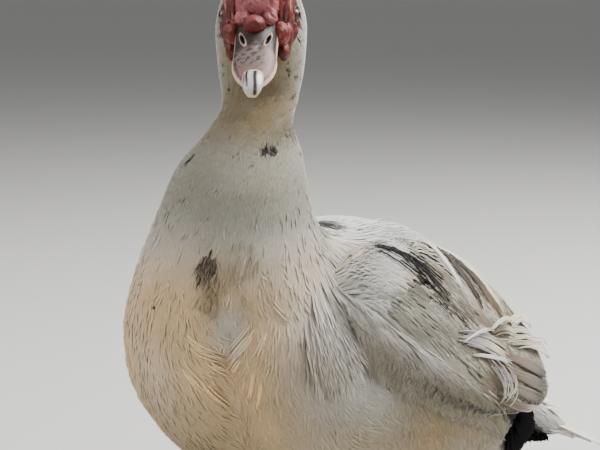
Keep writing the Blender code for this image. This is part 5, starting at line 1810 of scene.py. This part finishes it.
def build_eye(side, sign, radius):
    """A ball with a brown iris about a dark pupil, by the angle from the way it looks, and a lid round it."""
    out = unit(np.array((sign, -0.3, 0.05)))
    ahead = unit(np.array((0.0, -1.0, 0.0)) - out * -out[1])
    up = np.cross(out, ahead)
    tilt = np.linspace(0.02, math.pi - 0.02, 60)[:, None]
    turn = around(64)[None, :]
    centre = np.array((EYE_CENTRE[0] * sign, EYE_CENTRE[1], EYE_CENTRE[2]))
    spoke = ahead * np.cos(turn)[..., None] + up * np.sin(turn)[..., None]
    way = out * np.cos(tilt)[..., None] + spoke * np.sin(tilt)[..., None]
    swell = 1.0 + 0.05 * ease(tilt, 0.7, 0.3)
    grid = centre + way * (radius * swell)[..., None]
    tilt_all = tilt + 0.0 * turn
    colour = blend(hue("iris"), hue("black") * 0.3, ease(tilt_all, 0.36, 0.31))
    colour = blend(colour, hue("black") * 0.6, ease(tilt_all, 0.62, 0.74) * 0.85)
    points, faces = closed_tube(head_place(grid))
    tint = with_ends(colour)
    make_piece("eyeball_" + side, points, faces, finish_of("eye"), ("eye_" + side,), tint)
    step = around(LID_STEPS)[:, None]
    ring = around(LID_SIDES)[None, :]
    spoke = ahead * np.cos(step)[..., None] + up * np.sin(step)[..., None]
    thick = LID_THICK * (1.0 + 0.3 * np.abs(np.sin(step)) + 0.08 * np.sin(step * 9.0))
    middle = centre + spoke * LID_REACH + out * LID_OUT
    lid = middle + spoke * (thick * np.cos(ring))[..., None] + out * (thick * np.sin(ring))[..., None]
    lid_points = head_place(lid).reshape(-1, 3)
    lid_faces = sheet_faces(LID_STEPS + 1, LID_SIDES, True) % (LID_STEPS * LID_SIDES)
    lid_points, lid_faces = outward(lid_points, lid_faces)
    make_piece("eyelid_" + side, lid_points, lid_faces, finish_of("face"), (),
               np.broadcast_to(DEEP_RED * 0.6, lid_points.shape))


# ---- Legs

LEG_DARK = tone(84, 76, 64)


def leg_tint(points):
    """Horn yellow, darkened in soft random patches of grime."""
    return blend(hue("leg"), LEG_DARK, 0.35 + 0.35 * ripple(points, 0.018, 91))


UP = np.array((0.0, 0.0, 1.0))
TOE_SHARES = (0.02, 0.3, 0.62, 0.9, 1.0)
TOE_WIDTHS = (0.0042, 0.004, 0.0042, 0.0036, 0.0026)
TOE_HEIGHTS = (0.95, 0.9, 0.75, 0.65, 0.5)


def toe_way(sign, angle):
    """The way a toe points along the floor, and the way across it."""
    turned = math.radians(angle) * sign
    return np.array((math.sin(turned), -math.cos(turned), 0.0)), np.array((-math.cos(turned), -math.sin(turned), 0.0))


def toe_grid(sign, angle, length):
    """Rings along a straight toe: half width, height and place on the floor."""
    ahead, side = toe_way(sign, angle)
    share = np.linspace(0.02, 1.0, 40)
    width = np.interp(share, TOE_SHARES, TOE_WIDTHS)
    height = 0.0085 * np.interp(share, TOE_SHARES, TOE_HEIGHTS)
    knuckle = 1.0 + 0.07 * np.cos(share * math.tau * 3.0) + 0.03 * np.cos(share * math.tau * 16.0)
    turn = around(28)
    across = (width * knuckle)[:, None] * np.sign(np.cos(turn)) * np.abs(np.cos(turn)) ** 0.8
    level = (height * knuckle)[:, None] * (0.5 + 0.5 * np.sin(turn))
    centre = np.array((ANKLE[0] * sign, ANKLE[1], 0.0)) + ahead * (share * length)[:, None]
    return centre[:, None] + side * across[..., None] + UP * level[..., None]


def web_grid(sign, first, second):
    """Thin skin between two toes: rays from the ankle, its front edge hollowed by a sine, top and under faces."""
    share = np.linspace(0.0, 1.0, 19)
    turned = np.radians(first[1] + (second[1] - first[1]) * share) * sign
    reach = (first[2] + (second[2] - first[2]) * share) * 0.93 * (1.0 - 0.12 * np.sin(math.pi * share))
    out = np.linspace(0.08, 1.0, 24)[:, None]
    x = ANKLE[0] * sign + np.sin(turned) * reach * out
    y = ANKLE[1] - np.cos(turned) * reach * out
    top = 0.0026 + 0.0004 * np.cos(share * 4.0 * math.pi) * out
    low = np.full(x.shape, 0.0009)
    upper = side_by_side(x, y, top)
    under = side_by_side(x, y, low)[:, ::-1]
    return np.concatenate((upper, under), axis=1)


def build_leg(side, sign, claw_length):
    """A shank of stacked ovals with ring scutes, and a foot of toes, webs and a heel."""
    place = np.linspace(0.0, len(SHANK_ROWS) - 1.0, 110)[:, None]
    turn = around(48)[None, :]
    front = ease(-np.cos(turn), -0.2, 0.5)
    rings = 0.00035 * np.abs(np.sin(place * 9.0)) * front
    scute = rings + 0.0002 * np.sin(place * 30.0) * np.sin(turn * 12.0) * (1.0 - front)
    points, faces = closed_tube(limb_surface(SHANK_ROWS, place, turn, scute, sign))
    make_piece("shank_skin_" + side, points, faces, finish_of("leg"), ("shank_" + side,), leg_tint(points))
    parts = []
    for name, angle, length in TOES:
        parts.append(closed_tube(toe_grid(sign, angle, length) + SHIFT))
    for first, second in ((0, 1), (1, 2)):
        parts.append(closed_tube(web_grid(sign, TOES[first], TOES[second]) + SHIFT))
    tilt = np.linspace(0.02, math.pi - 0.02, 30)[:, None]
    across = np.sin(tilt)
    way = side_by_side(across * np.cos(turn), across * np.sin(turn), np.cos(tilt))
    heel = np.array((ANKLE[0] * sign, ANKLE[1], 0.0078)) + way * np.array((0.0078, 0.008, 0.0072))
    parts.append(closed_tube(heel + SHIFT))
    points, faces = joined(parts)
    make_piece("foot_skin_" + side, points, faces, finish_of("leg"), ("foot_" + side,), leg_tint(points))
    for name, angle, length in TOES:
        ahead, across = toe_way(sign, angle)
        size = 0.7 if name == "hind" else 1.0
        share = np.linspace(0.0, 1.0, 16)
        level = 0.0027 + 0.0006 * np.sin(math.pi * share) - 0.0017 * share ** 2
        centre = np.array((ANKLE[0] * sign, ANKLE[1], 0.0)) + UP * level[:, None]
        centre = centre + ahead * (length + 0.0003 + claw_length * size * share)[:, None]
        radius = 0.0021 * np.sqrt(1.0 - share * 0.985)
        spin = around(14)
        grid = (centre[:, None] + across * (radius[:, None] * 0.9 * np.cos(spin))[..., None]
                + UP * (radius[:, None] * np.sin(spin))[..., None])
        grid[..., 2] = np.maximum(grid[..., 2], 0.0002)
        points, faces = closed_tube(grid + SHIFT)
        tint = blend(hue("claw"), hue("black"), 0.3 + 0.3 * ripple(points, 0.006, 93))
        make_piece("claw_horn_" + name + "_" + side, points, faces, finish_of("nail"),
                   ("claw_" + name + "_" + side,), tint)


# ---- Stage

FLOOR_HALF = 80.0
SURROUND = (0.9, 0.91, 0.92, 1.0)
SURROUND_STRENGTH = 0.3
# Soft lamps: name, place, width, and power beside the setting
LAMPS = (
    ("key_lamp", (-0.9, -1.5, 1.5), 1.6, 1.12),
    ("fill_lamp", (1.9, -0.5, 1.4), 1.6, 0.42),
    ("top_lamp", (0.7, 0.9, 2.0), 1.5, 4.4),
)
LAMP_TARGET = np.array((0.0, -0.05, 0.22))
VIEW_TARGET = np.array((0.024, -0.1595, 0.287))
VIEW_AZIMUTH = math.radians(42.0)
VIEW_ELEVATION = math.radians(10.0)


def build_stage(power, lens, distance):
    """A pale floor, three soft lamps, a pale surround, and the camera on a sphere about its target."""
    scene = bpy.context.scene
    mesh = bpy.data.meshes.new("floor")
    corners = [(x * FLOOR_HALF, y * FLOOR_HALF, 0.0) for x, y in ((-1, -1), (1, -1), (1, 1), (-1, 1))]
    mesh.from_pydata(corners, [], [(0, 1, 2, 3)])
    floor = bpy.data.objects.new("floor", mesh)
    mesh.materials.append(finish_of("floor"))
    scene.collection.objects.link(floor)
    world = bpy.data.worlds.new("studio")
    world.use_nodes = True
    glow = world.node_tree.nodes["Background"].inputs
    glow["Color"].default_value = SURROUND
    glow["Strength"].default_value = SURROUND_STRENGTH
    scene.world = world
    for name, where, size, share in LAMPS:
        light = bpy.data.lights.new(name, "AREA")
        light.shape = "DISK"
        light.size = size
        light.energy = power * share
        lamp = bpy.data.objects.new(name, light)
        lamp.location = where
        lamp.rotation_mode = "QUATERNION"
        lamp.rotation_quaternion = look_turn(unit(LAMP_TARGET - np.array(where)))
        scene.collection.objects.link(lamp)
    view = bpy.data.cameras.new("view")
    view.lens = lens
    view.sensor_width = 36.0
    camera = bpy.data.objects.new("view", view)
    level = math.cos(VIEW_ELEVATION)
    away = np.array((math.sin(VIEW_AZIMUTH) * level, -math.cos(VIEW_AZIMUTH) * level, math.sin(VIEW_ELEVATION)))
    camera.location = VIEW_TARGET + away * distance
    camera.rotation_mode = "QUATERNION"
    camera.rotation_quaternion = look_turn(-away)
    scene.collection.objects.link(camera)
    scene.camera = camera


def look_turn(aim):
    """The turn that points an object's -Z along a way with its +Y upward."""
    return Vector(aim).to_track_quat("-Z", "Y")


# ---- Settings, operators and panel

class DuckColourSettings(bpy.types.PropertyGroup):
    """Colours of the feathers, the bare skin, the horn and the legs."""

    white: colour_setting("White coat", "Body feathers away from the stains", 224, 222, 212)
    # The bright coat of the back and shoulders is painted top light
    bright: colour_setting("Bright coat", "Body feathers of the back and shoulders", 240, 240, 238)
    # The neck's colour is darker and greyer than the coat: painted shade on the neck and head
    neck: colour_setting("Neck", "Greyed feathers of the neck", 160, 155, 138)
    tan: colour_setting("Breast", "Buff stain of the breast", 246, 206, 152)
    black: colour_setting("Black", "Black feathers, marks, nostrils and pupils", 10, 9, 10)
    brown: colour_setting("Brown", "Dark middles of the wing feathers", 104, 88, 70)
    grey_brown: colour_setting("Grey brown", "Wing feathers between the dark and the pale ones", 150, 142, 124)
    cream: colour_setting("Cream", "Margins and shafts of the wing feathers", 226, 216, 192)
    knob: colour_setting("Knob", "Bare skin of the knob over the bill", 90, 7, 7)
    block: colour_setting("Forehead", "Bare skin of the block above the knob", 142, 76, 80)
    lobes: colour_setting("Lobes", "Bare skin of the lobes beside the bill", 94, 16, 10)
    bill: colour_setting("Bill", "Grey middle of the bill", 102, 89, 84)
    bill_root: colour_setting("Bill root", "Dark root and flecks of the bill", 36, 26, 17)
    bill_side: colour_setting("Bill side", "Pink side and front of the bill", 122, 86, 80)
    bill_rim: colour_setting("Bill rim", "Pale rim of the bill and nostrils", 208, 174, 152)
    nail: colour_setting("Nail", "Horn of the bill's nail", 190, 184, 180)
    iris: colour_setting("Iris", "Ring round the pupil", 84, 54, 30)
    leg: colour_setting("Legs", "Scaled skin of legs and webs", 150, 128, 88)
    claw: colour_setting("Claws", "Horn of the claws", 120, 106, 90)

class DuckSizeSettings(bpy.types.PropertyGroup):
    """Sizes of the coat, the eyes, the claws and the folds of the face."""

    length_scale: FloatProperty(
        name="Feather length", description="Length of the body feathers beside the duck's own",
        default=1.0, min=0.4, max=1.5, subtype="FACTOR")
    eye_radius: FloatProperty(
        name="Eye radius", description="Half the width of each eyeball",
        default=EYE_RADIUS, min=0.003, max=0.01, precision=4, unit="LENGTH")
    claw_length: FloatProperty(
        name="Claw length", description="Length of the three front claws; the hind claw is shorter",
        default=CLAW_LENGTH, min=0.004, max=0.02, precision=4, unit="LENGTH")
    wrinkles: FloatProperty(
        name="Wrinkles", description="Depth of the fine folds of the bare face beside the duck's own",
        default=1.0, min=0.0, max=3.0, subtype="FACTOR")


class DuckStageSettings(bpy.types.PropertyGroup):
    """The studio's lamp and camera."""

    key_power: FloatProperty(
        name="Lamp power", description="Power of the main lamp", default=28.0, min=1.0, unit="POWER")
    lens: FloatProperty(
        name="Lens", description="Focal length of the camera's lens", default=84.0, min=10.0, max=300.0, unit="CAMERA")
    distance: FloatProperty(
        name="Camera distance", description="From the camera to the point it looks at",
        default=0.97, min=0.2, max=10.0, unit="LENGTH")


class DUCK_OT_skin(bpy.types.Operator):
    """Make the skin under the feathers."""

    bl_idname = "duck.skin"
    bl_label = "Skin"

    def execute(self, context):
        build_skin()
        return {"FINISHED"}


class DUCK_OT_coat(bpy.types.Operator):
    """Make the body feathers."""

    bl_idname = "duck.coat"
    bl_label = "Body feathers"

    def execute(self, context):
        build_coat(context.scene.duck_sizes.length_scale)
        return {"FINISHED"}


class DUCK_OT_wings(bpy.types.Operator):
    """Make the feathers of both wings."""

    bl_idname = "duck.wings"
    bl_label = "Wing feathers"

    def execute(self, context):
        for side, sign in SIDES:
            build_wing(side, sign)
        build_loose()
        return {"FINISHED"}


class DUCK_OT_tail(bpy.types.Operator):
    """Make the tail feathers."""

    bl_idname = "duck.tail"
    bl_label = "Tail feathers"

    def execute(self, context):
        build_tail()
        return {"FINISHED"}


class DUCK_OT_face(bpy.types.Operator):
    """Make the bare skin of the face."""

    bl_idname = "duck.face"
    bl_label = "Bare face"

    def execute(self, context):
        build_face(context.scene.duck_sizes.wrinkles)
        return {"FINISHED"}


class DUCK_OT_bill(bpy.types.Operator):
    """Make both halves of the bill and its nail."""

    bl_idname = "duck.bill"
    bl_label = "Bill"

    def execute(self, context):
        build_bill_half("bill_upper_skin", BILL_UPPER_ROWS, 1.0, "bill_upper")
        build_bill_half("bill_lower_skin", BILL_LOWER_ROWS, -1.0, "bill_lower")
        build_nail()
        return {"FINISHED"}


class DUCK_OT_eyes(bpy.types.Operator):
    """Make the eyes and their lids."""

    bl_idname = "duck.eyes"
    bl_label = "Eyes"

    def execute(self, context):
        for side, sign in SIDES:
            build_eye(side, sign, context.scene.duck_sizes.eye_radius)
        return {"FINISHED"}


class DUCK_OT_legs(bpy.types.Operator):
    """Make the legs, feet and claws."""

    bl_idname = "duck.legs"
    bl_label = "Legs"

    def execute(self, context):
        for side, sign in SIDES:
            build_leg(side, sign, context.scene.duck_sizes.claw_length)
        return {"FINISHED"}


class DUCK_OT_stage(bpy.types.Operator):
    """Make the floor, the lamps and the camera."""

    bl_idname = "duck.stage"
    bl_label = "Studio"

    def execute(self, context):
        studio = context.scene.duck_stage
        build_stage(studio.key_power, studio.lens, studio.distance)
        return {"FINISHED"}


class VIEW3D_PT_duck(bpy.types.Panel):
    """The duck's settings, and one button for each group of pieces."""

    bl_idname = "VIEW3D_PT_duck"
    bl_label = "Muscovy duck"
    bl_space_type = "VIEW_3D"
    bl_region_type = "UI"
    bl_category = "Duck"

    def draw(self, context):
        column = self.layout.column()
        scene = context.scene
        for settings in (scene.duck_sizes, scene.duck_stage, scene.duck_colours):
            for name in type(settings).__annotations__:
                column.prop(settings, name)
        for operator in OPERATORS:
            column.operator(operator.bl_idname)


OPERATORS = (
    DUCK_OT_stage, DUCK_OT_skin, DUCK_OT_coat, DUCK_OT_wings, DUCK_OT_tail,
    DUCK_OT_face, DUCK_OT_bill, DUCK_OT_eyes, DUCK_OT_legs,
)
CLASSES = (DuckColourSettings, DuckSizeSettings, DuckStageSettings) + OPERATORS + (VIEW3D_PT_duck,)


def register():
    """Make the classes and the settings known."""
    for item in CLASSES:
        bpy.utils.register_class(item)
    bpy.types.Scene.duck_colours = PointerProperty(type=DuckColourSettings)
    bpy.types.Scene.duck_sizes = PointerProperty(type=DuckSizeSettings)
    bpy.types.Scene.duck_stage = PointerProperty(type=DuckStageSettings)


def unregister():
    """Take the classes and the settings away."""
    del bpy.types.Scene.duck_stage
    del bpy.types.Scene.duck_sizes
    del bpy.types.Scene.duck_colours
    for item in reversed(CLASSES):
        bpy.utils.unregister_class(item)


def main():
    """Make every piece in turn."""
    register()
    bpy.ops.duck.stage()
    bpy.ops.duck.skin()
    bpy.ops.duck.coat()
    bpy.ops.duck.wings()
    bpy.ops.duck.tail()
    bpy.ops.duck.face()
    bpy.ops.duck.bill()
    bpy.ops.duck.eyes()
    bpy.ops.duck.legs()


if __name__ == "__main__":
    main()
